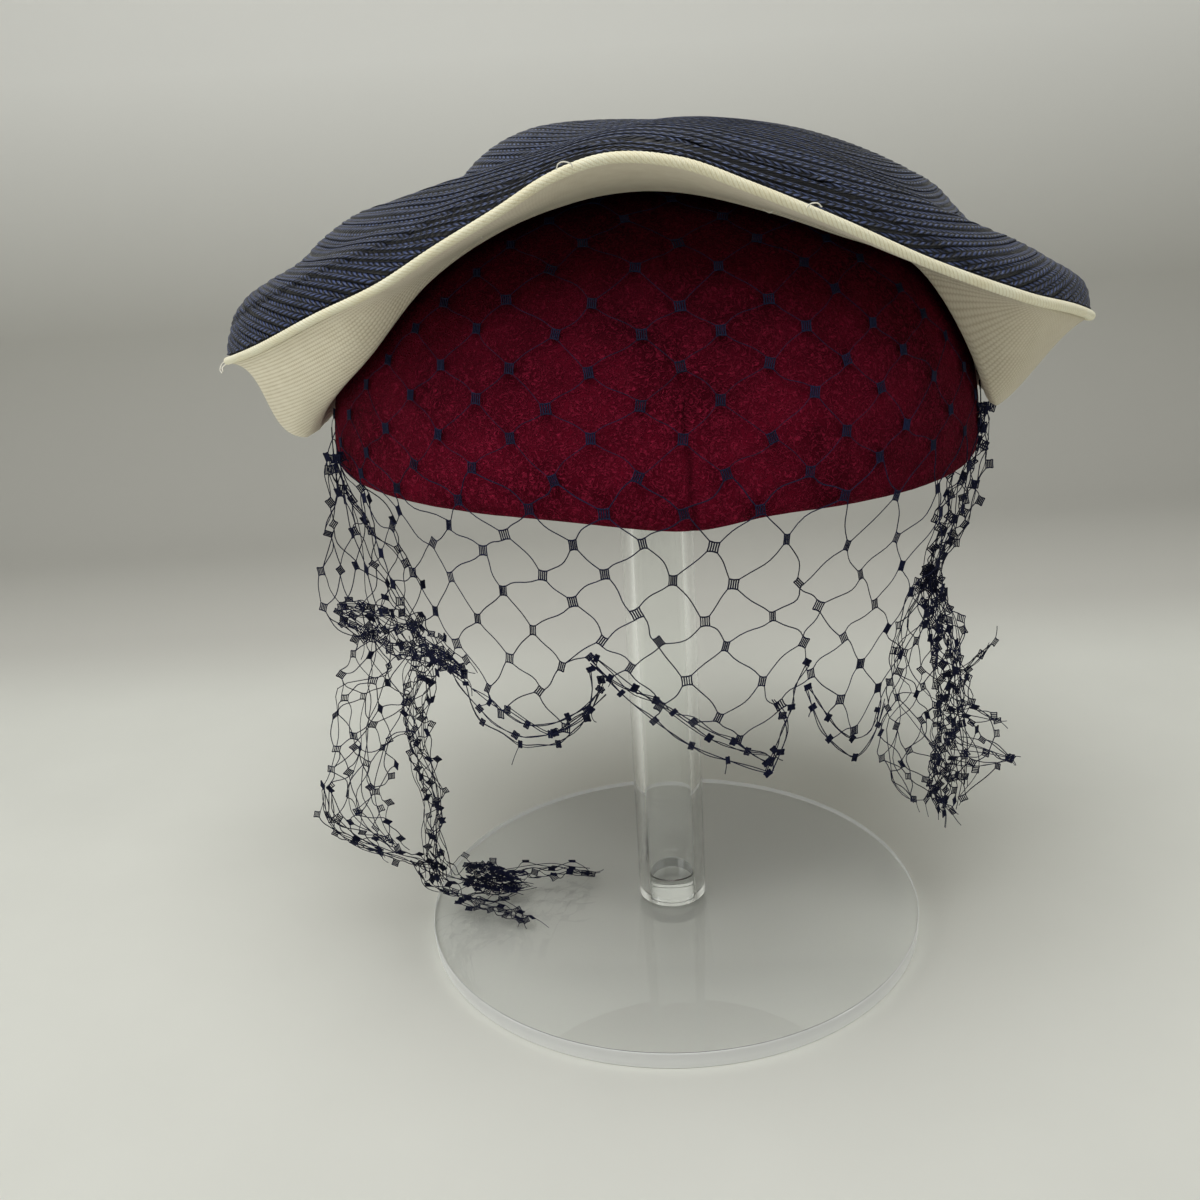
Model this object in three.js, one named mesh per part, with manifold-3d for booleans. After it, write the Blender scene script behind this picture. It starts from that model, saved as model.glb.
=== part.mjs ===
// Sewn-straw cocktail hat with a net face veil, on its clear display stand with a padded velour top.
// Units are millimetres and +Z is up. The origin is the centre of the base's underside, -Y is the front.
import * as THREE from 'three';
import Module from 'manifold-3d';

const wasm = await Module();
wasm.setup();

// ---- Driving dimensions -------------------------------------------------------------------------
const GAP = 0.3; // clearance between neighbouring pieces
const DEG = Math.PI / 180;

const BASE = { radius: 80, thickness: 5, chamfer: 0.6 };
const POST = { radius: 11, bore: 7.5, plugHeight: 8.5 };
const PAD = {
  radius: 91, // widest radius of the velour top
  widest: 160, // height of the widest ring
  top: 236, // height of the crown of the pad
  rim: 156, // mean height of the lower rim
  fullness: 2.2, // exponent of the dome's profile, 2 would be an ellipse
  floor: 156.8, // height of the flat underside inside the rim, where the post ends
  lipWidth: 8, // width of the rolled rim around that underside
  tilt: 1.7 * DEG, // the right side hangs lower
  seamSag: 2.6, // the rim dips where the front seam ends
};
const EDGE = { centreX: 1.4, halfWidth: 119.5, front: 86, back: 98 }; // plan oval of the bound edge
const CROWN = { x: 20, y: -9, top: 243.2 }; // where the straw rows start
const STRAW_WALL = 1.6;
const STRAW_FOOT = 0.7; // the straw's outer surface meets the edge this far above the binding's middle
const FACING_WALL = 1.1;
const BINDING_RADIUS = 1.6;
const STRAW_SETBACK = 1.3; // the straw stops this far short of the middle of the binding
const FACING_SETBACK = 2.1; // and the facing this far
const LIP_CLEARANCE = 2.5; // the turned-in facing stays this far off the velour, with the veil between
const TURN_IN = 5; // the facing's hidden hem runs this far up inside the hat
// How many flat sides each round body is made with.
const SIDES = { base: 64, tube: 32, plug: 28, pad: 48, hat: 64, binding: 80, cord: 6 };
const VEIL = { thickness: 0.9, lift: 0.95, strand: 1.3, cellWidth: 25.5, cellHeight: 18.5 };

// Height of the bound edge along the hat's width: the front arches up over the face.
const EDGE_HEIGHT = [
  { x: -119, front: 188.5, back: 188.5 },
  { x: -98, front: 195, back: 191.5 },
  { x: -78, front: 203, back: 196 },
  { x: -62, front: 209, back: 199.5 },
  { x: -48, front: 216.2, back: 202 },
  { x: -34, front: 223, back: 204 },
  { x: -21, front: 229.6, back: 205.4 },
  { x: -9, front: 232.4, back: 206 },
  { x: 5, front: 230.6, back: 206 },
  { x: 18, front: 225.6, back: 205.2 },
  { x: 38, front: 217, back: 203 },
  { x: 60, front: 207, back: 199.5 },
  { x: 86, front: 197.5, back: 193.5 },
  { x: 103, front: 192.8, back: 190 },
  { x: 121.5, front: 186.8, back: 186.8 },
];

// Height of the straw above the edge, as a share of the rise to the crown, from its middle (reach 0)
// to the edge (reach 1) in four directions. The crown's foot is the crease near reach 0.5 to 0.65.
const STRAW_PROFILE = [
  { reach: 0.0, left: 1.0, right: 1.0, front: 1.0, back: 1.0 },
  { reach: 0.15, left: 1.02, right: 0.965, front: 0.98, back: 0.985 },
  { reach: 0.25, left: 1.03, right: 0.92, front: 0.95, back: 0.955 },
  { reach: 0.35, left: 1.015, right: 0.855, front: 0.925, back: 0.9 },
  { reach: 0.42, left: 0.955, right: 0.8, front: 0.9, back: 0.85 },
  { reach: 0.47, left: 0.87, right: 0.755, front: 0.885, back: 0.805 },
  { reach: 0.505, left: 0.79, right: 0.72, front: 0.865, back: 0.77 },
  { reach: 0.58, left: 0.735, right: 0.635, front: 0.815, back: 0.68 },
  { reach: 0.65, left: 0.69, right: 0.5, front: 0.76, back: 0.585 },
  { reach: 0.71, left: 0.66, right: 0.4, front: 0.7, back: 0.52 },
  { reach: 0.78, left: 0.555, right: 0.345, front: 0.61, back: 0.44 },
  { reach: 0.83, left: 0.45, right: 0.32, front: 0.52, back: 0.375 },
  { reach: 0.9, left: 0.36, right: 0.245, front: 0.335, back: 0.26 },
  { reach: 0.95, left: 0.275, right: 0.19, front: 0.195, back: 0.17 },
  { reach: 0.985, left: 0.14, right: 0.12, front: 0.09, back: 0.075 },
  { reach: 1.0, left: 0, right: 0, front: 0, back: 0 },
];

// The facing's rolled lip, by azimuth in degrees (-90 is the front): its lowest height, how far it
// stands off the velour, and how deep the facing's hollow elbow is.
const LIP = [
  { azimuth: -180, height: 167, standoff: 7.5, elbow: 1.0 },
  { azimuth: -168, height: 168, standoff: 7.5, elbow: 1.0 },
  { azimuth: -159, height: 175.5, standoff: 5.5, elbow: 0.8 },
  { azimuth: -150, height: 183.5, standoff: 4.2, elbow: 0.6 },
  { azimuth: -141, height: 193, standoff: 4.2, elbow: 0.4 },
  { azimuth: -133, height: 208.5, standoff: 4.2, elbow: 0.25 },
  { azimuth: -122, height: 219, standoff: 4.2, elbow: 0.15 },
  { azimuth: -108, height: 224.8, standoff: 4.2, elbow: 0.1 },
  { azimuth: -94, height: 226.6, standoff: 4.2, elbow: 0.1 },
  { azimuth: -80, height: 225, standoff: 4.2, elbow: 0.1 },
  { azimuth: -66, height: 220, standoff: 4.2, elbow: 0.1 },
  { azimuth: -54, height: 214, standoff: 4.2, elbow: 0.1 },
  { azimuth: -43, height: 209, standoff: 4.2, elbow: 0.1 },
  { azimuth: -36, height: 203.5, standoff: 4.2, elbow: 0.1 },
  { azimuth: -31, height: 185, standoff: 4.2, elbow: 0.1 },
  { azimuth: -25, height: 170.5, standoff: 4.6, elbow: 0.1 },
  { azimuth: -15, height: 166.5, standoff: 5.2, elbow: 0.1 },
  { azimuth: 0, height: 165.5, standoff: 5.2, elbow: 0.1 },
  { azimuth: 30, height: 173, standoff: 4.6, elbow: 0.2 },
  { azimuth: 60, height: 190, standoff: 4.2, elbow: 0.3 },
  { azimuth: 90, height: 198, standoff: 4.2, elbow: 0.3 },
  { azimuth: 120, height: 191, standoff: 4.2, elbow: 0.4 },
  { azimuth: 150, height: 175, standoff: 5, elbow: 0.7 },
  { azimuth: 180, height: 167, standoff: 7.5, elbow: 1.0 },
];

// Lower end of the hanging veil by azimuth: scallops between the two gathered sides.
const VEIL_HEM = [
  { azimuth: -143, height: 122 },
  { azimuth: -130, height: 116 },
  { azimuth: -117, height: 101 },
  { azimuth: -107, height: 104 },
  { azimuth: -102, height: 118 },
  { azimuth: -95, height: 111 },
  { azimuth: -84, height: 101 },
  { azimuth: -76, height: 92 },
  { azimuth: -69, height: 113 },
  { azimuth: -60, height: 92 },
  { azimuth: -52, height: 104 },
  { azimuth: -34, height: 124 },
];

const BUNCH = { sides: 10, pleat: 0.12, endShare: 0.02 };

// Bunched net: centre line, half width across and half depth of each bunch, top to bottom.
const LEFT_BUNCH = [
  { x: -83.4, y: -42.6, z: 163, across: 1.7, deep: 3 },
  { x: -84.2, y: -43, z: 152, across: 3, deep: 4 },
  { x: -83.5, y: -42, z: 142, across: 8, deep: 5 },
  { x: -81, y: -40, z: 130, across: 11, deep: 6 },
  { x: -75, y: -38, z: 118, across: 13, deep: 8 },
  { x: -78, y: -34, z: 104, across: 11, deep: 7 },
  { x: -85, y: -30, z: 88, across: 12, deep: 6 },
  { x: -89, y: -27, z: 72, across: 12, deep: 6 },
  { x: -91, y: -24, z: 58, across: 12, deep: 6 },
  { x: -84, y: -21, z: 47, across: 8, deep: 4 },
];
const LEFT_ROPE = [
  { x: -68, y: -36, z: 116, across: 4, deep: 4 },
  { x: -65, y: -27, z: 100, across: 5.5, deep: 5 },
  { x: -69, y: -19, z: 80, across: 5.5, deep: 5 },
  { x: -68, y: -13, z: 62, across: 5, deep: 5 },
  { x: -71.5, y: -7, z: 45, across: 6, deep: 5.5 },
  { x: -72, y: -2, z: 30, across: 8, deep: 6 },
  { x: -69, y: 0, z: 14, across: 7, deep: 6 },
];
const LEFT_TAIL = [
  { x: -78, y: -2, z: 10.4, across: 4, deep: 4 },
  { x: -68, y: -2, z: 12.6, across: 11, deep: 6.4 },
  { x: -59, y: 1, z: 12, across: 10, deep: 6 },
  { x: -50, y: 5, z: 9.7, across: 7, deep: 4 },
  { x: -38, y: 7, z: 9, across: 5.5, deep: 3.4 },
  { x: -27, y: 6, z: 8.6, across: 5, deep: 3 },
];
const RIGHT_BUNCH = [
  { x: 88.3, y: -30.7, z: 160, across: 1.7, deep: 3 },
  { x: 88.6, y: -31, z: 150, across: 3, deep: 4 },
  { x: 85.5, y: -29, z: 139, across: 6, deep: 5 },
  { x: 78, y: -27, z: 125, across: 4.5, deep: 4.5 },
  { x: 76, y: -25, z: 112, across: 12, deep: 7 },
  { x: 79, y: -24, z: 94, across: 15, deep: 9 },
  { x: 83, y: -23, z: 76, across: 17, deep: 10 },
  { x: 85, y: -22, z: 60, across: 16, deep: 9 },
  { x: 85, y: -21, z: 49, across: 8, deep: 6 },
];

// ---- Small tools --------------------------------------------------------------------------------
const clamp = (value, low, high) => Math.min(high, Math.max(low, value));
const mix = (a, b, share) => a + (b - a) * share;

/** Reads a column of a table at a key, on a smooth curve through its rows (Catmull-Rom). */
function readTable(table, key, column, at) {
  const last = table.length - 1;
  let i = 0;
  while (i < last - 1 && at > table[i + 1][key]) i += 1;
  const low = table[i];
  const high = table[i + 1];
  const before = table[Math.max(i - 1, 0)];
  const after = table[Math.min(i + 2, last)];
  const step = high[key] - low[key];
  const s = clamp((at - low[key]) / step, 0, 1);
  const slopeLow = ((high[column] - before[column]) / (high[key] - before[key])) * step;
  const slopeHigh = ((after[column] - low[column]) / (after[key] - low[key])) * step;
  const s2 = s * s;
  const s3 = s2 * s;
  return (2 * s3 - 3 * s2 + 1) * low[column] + (s3 - 2 * s2 + s) * slopeLow
    + (3 * s2 - 2 * s3) * high[column] + (s3 - s2) * slopeHigh;
}

/** A closed body from rings of points. With poles the first and last ring close to a point each. */
function ringBody(rings, topPole, bottomPole) {
  const n = rings[0].length;
  const points = rings.flat();
  const faces = [];
  const bands = topPole ? rings.length - 1 : rings.length;
  for (let r = 0; r < bands; r += 1) {
    const next = (r + 1) % rings.length;
    for (let k = 0; k < n; k += 1) {
      const a = r * n + k;
      const b = r * n + ((k + 1) % n);
      const c = next * n + ((k + 1) % n);
      const d = next * n + k;
      faces.push([a, b, c], [a, c, d]);
    }
  }
  if (topPole) {
    const first = points.push(topPole) - 1;
    const last = points.push(bottomPole) - 1;
    const base = (rings.length - 1) * n;
    for (let k = 0; k < n; k += 1) {
      faces.push([first, (k + 1) % n, k]);
      faces.push([last, base + k, base + ((k + 1) % n)]);
    }
  }
  return bodyFromFaces(points, faces);
}

/** Turns points and triangles into a geometry whose faces point outwards. */
function bodyFromFaces(points, faces) {
  let volume = 0;
  for (const [a, b, c] of faces) {
    volume += points[a].dot(new THREE.Vector3().crossVectors(points[b], points[c]));
  }
  const outward = volume > 0 ? faces : faces.map(([a, b, c]) => [a, c, b]);
  const geometry = new THREE.BufferGeometry();
  geometry.setFromPoints(points);
  geometry.setIndex(outward.flat());
  return geometry;
}

const ring = (count, pointAt) => Array.from({ length: count }, (_, k) => pointAt((k / count) * 2 * Math.PI - Math.PI));

// ---- Stand --------------------------------------------------------------------------------------
function lathe(outline, segments) {
  return ringBody(
    outline.slice(1, -1).map(([r, z]) => ring(segments, (a) => new THREE.Vector3(r * Math.cos(a), r * Math.sin(a), z))),
    new THREE.Vector3(0, 0, outline[0][1]),
    new THREE.Vector3(0, 0, outline[outline.length - 1][1]),
  );
}

function baseDisc() {
  const { radius, thickness, chamfer } = BASE;
  return lathe([
    [0, 0],
    [radius - chamfer, 0],
    [radius, chamfer],
    [radius, thickness - chamfer],
    [radius - chamfer, thickness],
    [0, thickness],
  ], SIDES.base);
}

const postFoot = BASE.thickness + GAP;
const postHead = PAD.floor - GAP - POST.radius * Math.sin(PAD.tilt);

function postTube() {
  const section = [
    [POST.radius, postFoot],
    [POST.radius, postHead],
    [POST.bore, postHead],
    [POST.bore, postFoot],
  ];
  return ringBody(section.map(([r, z]) => ring(SIDES.tube, (a) => new THREE.Vector3(r * Math.cos(a), r * Math.sin(a), z))));
}

function postPlug() {
  const r = POST.bore - GAP;
  return lathe([[0, postFoot], [r, postFoot], [r, postFoot + POST.plugHeight], [0, postFoot + POST.plugHeight]], SIDES.plug);
}

// ---- Velour pad ---------------------------------------------------------------------------------
/** Radius of the pad's upright profile at a height, before it is tilted. */
function padRadius(z) {
  if (z <= PAD.widest) return PAD.radius;
  const h = clamp((z - PAD.widest) / (PAD.top - PAD.widest), 0, 1);
  return PAD.radius * (1 - h ** PAD.fullness) ** (1 / PAD.fullness);
}

/** Tilts a point of the upright pad about the Y axis, at the height of its widest ring. */
function tilted(x, y, z) {
  const h = z - PAD.widest;
  const c = Math.cos(PAD.tilt);
  const s = Math.sin(PAD.tilt);
  return new THREE.Vector3(x * c + h * s, y, PAD.widest + h * c - x * s);
}

const rimHeight = (a) => PAD.rim - PAD.seamSag * Math.exp(-(((a + 87 * DEG) / (14 * DEG)) ** 2));

function padBody() {
  const rings = [];
  const at = (r, z) => ring(SIDES.pad, (a) => tilted(r * Math.cos(a), r * Math.sin(a), z));
  for (const h of [0.985, 0.94, 0.87, 0.78, 0.67, 0.54, 0.4, 0.26, 0.13, 0]) {
    const z = mix(PAD.widest, PAD.top, h);
    rings.push(at(padRadius(z), z));
  }
  const roll = PAD.lipWidth / 2;
  for (const turn of [0, 45, 90, 135, 180]) {
    const r = PAD.radius - roll + roll * Math.cos(turn * DEG);
    rings.push(ring(SIDES.pad, (a) => {
      const z = rimHeight(a) + roll * (1 - Math.sin(turn * DEG));
      return tilted(r * Math.cos(a), r * Math.sin(a), z);
    }));
  }
  rings.push(at(PAD.radius - PAD.lipWidth, PAD.floor));
  return ringBody(rings, tilted(0, 0, PAD.top), tilted(0, 0, PAD.floor));
}

// ---- Hat ----------------------------------------------------------------------------------------
/** The middle of the binding at an angle of the plan oval. */
function edgePoint(t) {
  const x = EDGE.centreX + EDGE.halfWidth * Math.cos(t);
  const back = Math.sin(t) > 0;
  const y = Math.sin(t) * (back ? EDGE.back : EDGE.front);
  return new THREE.Vector3(x, y, readTable(EDGE_HEIGHT, 'x', back ? 'back' : 'front', x));
}

/** The straw's outer surface, from the crown's middle (reach 0) to the edge (reach 1). */
function strawPoint(reach, t) {
  const edge = edgePoint(t);
  const side = readTable(STRAW_PROFILE, 'reach', Math.cos(t) < 0 ? 'left' : 'right', reach);
  const end = readTable(STRAW_PROFILE, 'reach', Math.sin(t) < 0 ? 'front' : 'back', reach);
  const share = mix(end, side, 1 - Math.sin(t) ** 4);
  const foot = edge.z + STRAW_FOOT;
  return new THREE.Vector3(
    mix(CROWN.x, edge.x, reach),
    mix(CROWN.y, edge.y, reach),
    mix(foot, CROWN.top, share),
  );
}

/** The straw's inner surface: the outer one moved in by the wall, along its normal. */
function strawInner(reach, t) {
  const here = strawPoint(reach, t);
  const along = strawPoint(reach + 0.01 > 1 ? reach : reach + 0.01, t).sub(strawPoint(reach - 0.01, t));
  const around = strawPoint(reach, t + 0.01).sub(strawPoint(reach, t - 0.01));
  const normal = new THREE.Vector3().crossVectors(along, around).normalize();
  return here.addScaledVector(normal, -STRAW_WALL);
}

function strawBody() {
  const stations = [0.13, 0.26, 0.37, 0.45, 0.51, 0.6, 0.68, 0.75, 0.82, 0.9, 0.955];
  const outer = stations.map((reach) => ring(SIDES.hat, (t) => strawPoint(reach, t)));
  const inner = stations.map((reach) => ring(SIDES.hat, (t) => strawInner(reach, t)));
  const last = 0.02;
  const stop = (t) => 1 - (last * STRAW_SETBACK) / strawPoint(1, t).distanceTo(strawPoint(1 - last, t));
  outer.push(ring(SIDES.hat, (t) => strawPoint(stop(t), t)));
  inner.push(ring(SIDES.hat, (t) => strawInner(stop(t), t)));
  const middle = new THREE.Vector3(CROWN.x, CROWN.y, CROWN.top);
  const under = middle.clone().setZ(CROWN.top - STRAW_WALL);
  return ringBody([...outer, ...inner.reverse()], middle, under);
}

/** Azimuth in degrees of a point, from -180 to 180, and a reading of the lip's table there. */
const azimuthOf = (p) => Math.atan2(p.y, p.x) / DEG;
const lipValue = (azimuth, column) => readTable(LIP, 'azimuth', column, azimuth);

/** The lip's place in its radial plane, with the velour's outward normal there and its rise. */
function lipPlace(azimuth) {
  const height = lipValue(azimuth, 'height');
  const standoff = lipValue(azimuth, 'standoff');
  const lean = Math.sin(PAD.tilt) * Math.cos(azimuth * DEG);
  const normal = new THREE.Vector2(1, 0);
  let radius = PAD.radius;
  for (let pass = 0; pass < 6; pass += 1) {
    const upright = height + radius * lean - normal.y * standoff;
    normal.set(1, padRadius(upright - 0.5) - padRadius(upright + 0.5)).normalize();
    radius = padRadius(upright) + normal.x * standoff + (upright - PAD.widest) * lean;
  }
  return { lip: new THREE.Vector2(radius, height), normal, rise: new THREE.Vector2(-normal.y, normal.x), standoff };
}

/** The facing's section at an angle: points down its visible side from the binding to the turned-in end. */
function facingSection(t) {
  const edge = edgePoint(t);
  const azimuth = azimuthOf(edge);
  const elbow = lipValue(azimuth, 'elbow');
  const { lip, normal, rise, standoff } = lipPlace(azimuth);
  const start = new THREE.Vector2(Math.hypot(edge.x, edge.y) - FACING_SETBACK, edge.z - BINDING_RADIUS - 0.2);
  const chord = lip.clone().sub(start).multiplyScalar(1 / 3);
  const first = start.clone().add(new THREE.Vector2(mix(chord.x, -9, elbow), mix(chord.y, -2, elbow)));
  const second = lip.clone().add(new THREE.Vector2(mix(-chord.x, 11, elbow), mix(-chord.y, 0.5, elbow)));
  const points = new THREE.CubicBezierCurve(start, first, second, lip).getPoints(5);
  const roll = standoff - LIP_CLEARANCE;
  const turn = (up, inward) => lip.clone().addScaledVector(rise, up).addScaledVector(normal, -inward);
  points.push(turn(0.3 * roll + 0.4, 0.7 * roll), turn(roll + 1, roll), turn(roll + 1 + TURN_IN, roll));
  return { points, azimuth };
}

/** The section's other side: the same points moved up or inwards by the facing's wall. */
function facingBack(points) {
  return points.map((p, i) => {
    const before = points[Math.max(i - 1, 0)];
    const after = points[Math.min(i + 1, points.length - 1)];
    const d = after.clone().sub(before).normalize();
    return new THREE.Vector2(p.x + d.y * FACING_WALL, p.y - d.x * FACING_WALL);
  });
}

function brimFacing() {
  const loops = ring(SIDES.hat, facingSection).map(({ points, azimuth }) => {
    const both = [...points, ...facingBack(points).reverse()];
    return both.map((p) => new THREE.Vector3(p.x * Math.cos(azimuth * DEG), p.x * Math.sin(azimuth * DEG), p.y));
  });
  return ringBody(loops);
}

function edgeBinding() {
  const loops = ring(SIDES.binding, (t) => {
    const middle = edgePoint(t);
    const along = edgePoint(t + 0.01).sub(edgePoint(t - 0.01)).normalize();
    const out = new THREE.Vector3(along.y, -along.x, 0).normalize();
    const up = new THREE.Vector3().crossVectors(out, along);
    return ring(SIDES.cord, (a) => middle.clone()
      .addScaledVector(out, BINDING_RADIUS * Math.cos(a))
      .addScaledVector(up, BINDING_RADIUS * Math.sin(a)));
  });
  return ringBody(loops);
}

// ---- Veil ---------------------------------------------------------------------------------------
/** The veil's surface: it follows the velour above the rim and hangs straight down below it. */
function veilPoint(azimuthDegrees, drop, lift) {
  const a = azimuthDegrees * DEG;
  const fromRim = -drop; // positive up the pad, negative below the rim
  const hang = PAD.radius + lift;
  if (fromRim <= 0) {
    const inward = 0.0006 * fromRim * fromRim;
    return tilted((hang - inward) * Math.cos(a), (hang - inward) * Math.sin(a), PAD.widest + fromRim);
  }
  let z = PAD.widest;
  let r = PAD.radius;
  let walked = 0;
  const step = 0.5;
  while (walked < fromRim && z < PAD.top - 1) {
    const nextZ = z + step;
    const nextR = padRadius(nextZ);
    walked += Math.hypot(step, nextR - r);
    z = nextZ;
    r = nextR;
  }
  const slope = (padRadius(z + step) - padRadius(z - step)) / (2 * step);
  const normal = new THREE.Vector2(1, -slope).normalize();
  return tilted((r + normal.x * lift) * Math.cos(a), (r + normal.x * lift) * Math.sin(a), z + normal.y * lift);
}

/** True where the veil has net: below the facing's lip and above its own scalloped hem. */
function hasNet(azimuthDegrees, drop) {
  const p = veilPoint(azimuthDegrees, drop, VEIL.lift);
  const hem = readTable(VEIL_HEM, 'azimuth', 'height', azimuthDegrees);
  return p.z > hem && p.z < lipValue(azimuthDegrees, 'height') - 1;
}

function veilCells() {
  const first = VEIL_HEM[0].azimuth;
  const last = VEIL_HEM[VEIL_HEM.length - 1].azimuth;
  const halfWidth = VEIL.cellWidth / 2 / PAD.radius / DEG;
  const halfHeight = VEIL.cellHeight / 2;
  const columns = Math.floor((last - first) / halfWidth) - 1;
  const cells = new Set();
  for (let c = 0; c < columns; c += 1) {
    for (let r = -14; r < 8; r += 1) {
      if ((c + r) % 2 === 0 && hasNet(first + (c + 1) * halfWidth, (r + 1) * halfHeight)) cells.add(`${c},${r}`);
    }
  }
  // Two cells that meet at a knot alone get the cell between them, so that the net stays in one piece.
  const has = (c, r) => cells.has(`${c},${r}`);
  for (const name of [...cells]) {
    const [c, r] = name.split(',').map(Number);
    if (has(c + 2, r) && !has(c + 1, r - 1) && !has(c + 1, r + 1)) cells.add(`${c + 1},${r - 1}`);
    if (has(c, r + 2) && !has(c - 1, r + 1) && !has(c + 1, r + 1)) cells.add(`${c + 1},${r + 1}`);
  }
  return [...cells].map((name) => name.split(',').map(Number));
}

/** The net: a plate of diamonds, each cut through, on the veil's surface. */
function veilFront() {
  const first = VEIL_HEM[0].azimuth;
  const halfWidth = VEIL.cellWidth / 2 / PAD.radius / DEG;
  const halfHeight = VEIL.cellHeight / 2;
  const points = [];
  const faces = [];
  const index = new Map();
  const pointAt = (c, r, lift) => {
    const key = `${c.toFixed(4)},${r.toFixed(4)},${lift}`;
    if (!index.has(key)) {
      index.set(key, points.push(veilPoint(first + (c + 1) * halfWidth, (r + 1) * halfHeight, lift)) - 1);
    }
    return index.get(key);
  };
  const quad = (a, b, c, d) => faces.push([a, b, c], [a, c, d]);
  const low = VEIL.lift;
  const high = VEIL.lift + VEIL.thickness;
  const cells = veilCells();
  const corners = [[-1, 0], [0, -1], [1, 0], [0, 1]];
  const hole = 1 - VEIL.strand / (VEIL.cellHeight * 0.62);
  const used = new Map();
  for (const [c, r] of cells) {
    for (let k = 0; k < 4; k += 1) {
      const [u0, v0] = corners[k];
      const [u1, v1] = corners[(k + 1) % 4];
      const outerA = [c + u0, r + v0];
      const outerB = [c + u1, r + v1];
      const innerA = [c + u0 * hole, r + v0 * hole];
      const innerB = [c + u1 * hole, r + v1 * hole];
      quad(pointAt(...outerA, high), pointAt(...outerB, high), pointAt(...innerB, high), pointAt(...innerA, high));
      quad(pointAt(...outerB, low), pointAt(...outerA, low), pointAt(...innerA, low), pointAt(...innerB, low));
      quad(pointAt(...innerA, high), pointAt(...innerB, high), pointAt(...innerB, low), pointAt(...innerA, low));
      used.set(`${outerA}|${outerB}`, [outerA, outerB]);
    }
  }
  for (const [key, [a, b]] of used) {
    if (!used.has(`${b}|${a}`)) quad(pointAt(...b, high), pointAt(...a, high), pointAt(...a, low), pointAt(...b, low));
  }
  return bodyFromFaces(points, faces);
}

/** A bunch of net: oval sections along a smooth line, closed to a point at both ends. `facing` is the
 * direction that the sections' depth is measured in. */
function bunch(table, facing) {
  const line = new THREE.CatmullRomCurve3(table.map(({ x, y, z }) => new THREE.Vector3(x, y, z)));
  const rows = table.map((row, i) => ({ ...row, share: i / (table.length - 1) }));
  const steps = rows.length * 2 - 2;
  const rings = [];
  for (let k = 0; k <= steps; k += 1) {
    const at = clamp(k / steps, BUNCH.endShare, 1 - BUNCH.endShare);
    const across = readTable(rows, 'share', 'across', at);
    const deep = readTable(rows, 'share', 'deep', at);
    const middle = line.getPoint(at);
    const along = line.getTangent(at);
    const side = new THREE.Vector3().crossVectors(along, facing).normalize();
    const through = new THREE.Vector3().crossVectors(side, along).normalize();
    rings.push(ring(BUNCH.sides, (a) => {
      const pleat = 1 + BUNCH.pleat * Math.cos((BUNCH.sides / 2) * a + k);
      return middle.clone()
        .addScaledVector(side, across * pleat * Math.cos(a))
        .addScaledVector(through, deep * pleat * Math.sin(a));
    }));
  }
  return ringBody(rings, line.getPoint(0), line.getPoint(1));
}

/** Joins closed geometries that run into each other into one body. */
function joined(geometries) {
  const solids = geometries.map((geometry) => new wasm.Manifold(new wasm.Mesh({
    numProp: 3,
    vertProperties: Float32Array.from(geometry.attributes.position.array),
    triVerts: Uint32Array.from(geometry.index.array),
  })));
  const mesh = solids.reduce((whole, solid) => whole.add(solid)).getMesh();
  const geometry = new THREE.BufferGeometry();
  geometry.setAttribute('position', new THREE.BufferAttribute(mesh.vertProperties, 3));
  geometry.setIndex(new THREE.BufferAttribute(mesh.triVerts, 1));
  return geometry;
}

const HANGING = new THREE.Vector3(0, 1, 0);
const LYING = new THREE.Vector3(0, 0, 1);
const veilLeft = () => joined([bunch(LEFT_BUNCH, HANGING), bunch(LEFT_ROPE, HANGING), bunch(LEFT_TAIL, LYING)]);
const veilRight = () => bunch(RIGHT_BUNCH, HANGING);

// ---- Assembly -----------------------------------------------------------------------------------
const CLEAR = { color: '#dfe5e2', roughness: 0.05, metalness: 0 };
const VELOUR = { color: '#5a1022', roughness: 0.95, metalness: 0 };
const STRAW = { color: '#1d2436', roughness: 0.55, metalness: 0 };
const COTTON = { color: '#ddd3b4', roughness: 0.85, metalness: 0 };
const NET = { color: '#1a2036', roughness: 0.8, metalness: 0 };

const fascinator = new THREE.Group();
fascinator.name = 'fascinator_on_stand';

function add(name, geometry, finish) {
  const mesh = new THREE.Mesh(geometry, new THREE.MeshStandardMaterial(finish));
  mesh.name = name;
  fascinator.add(mesh);
}

add('base_disc', baseDisc(), CLEAR);
add('post_tube', postTube(), CLEAR);
add('post_plug', postPlug(), CLEAR);
add('velour_pad', padBody(), VELOUR);
add('straw_body', strawBody(), STRAW);
add('brim_facing', brimFacing(), COTTON);
add('edge_binding', edgeBinding(), COTTON);
add('veil_front', veilFront(), NET);
add('veil_left', veilLeft(), NET);
add('veil_right', veilRight(), NET);

export default fascinator;
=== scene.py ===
"""Looks of a sewn-straw cocktail hat with a knotted net veil, on its clear stand with a padded top.

Lengths in the tables and functions are millimetres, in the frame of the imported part: +Z is up, -Y is the
front and the origin is the centre of the base's underside. Meshes are made in metres.
"""

import math

import bmesh
import bpy
import numpy as np
from bpy.props import FloatProperty, FloatVectorProperty, IntProperty, PointerProperty
from mathutils import Matrix, Vector, noise


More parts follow.
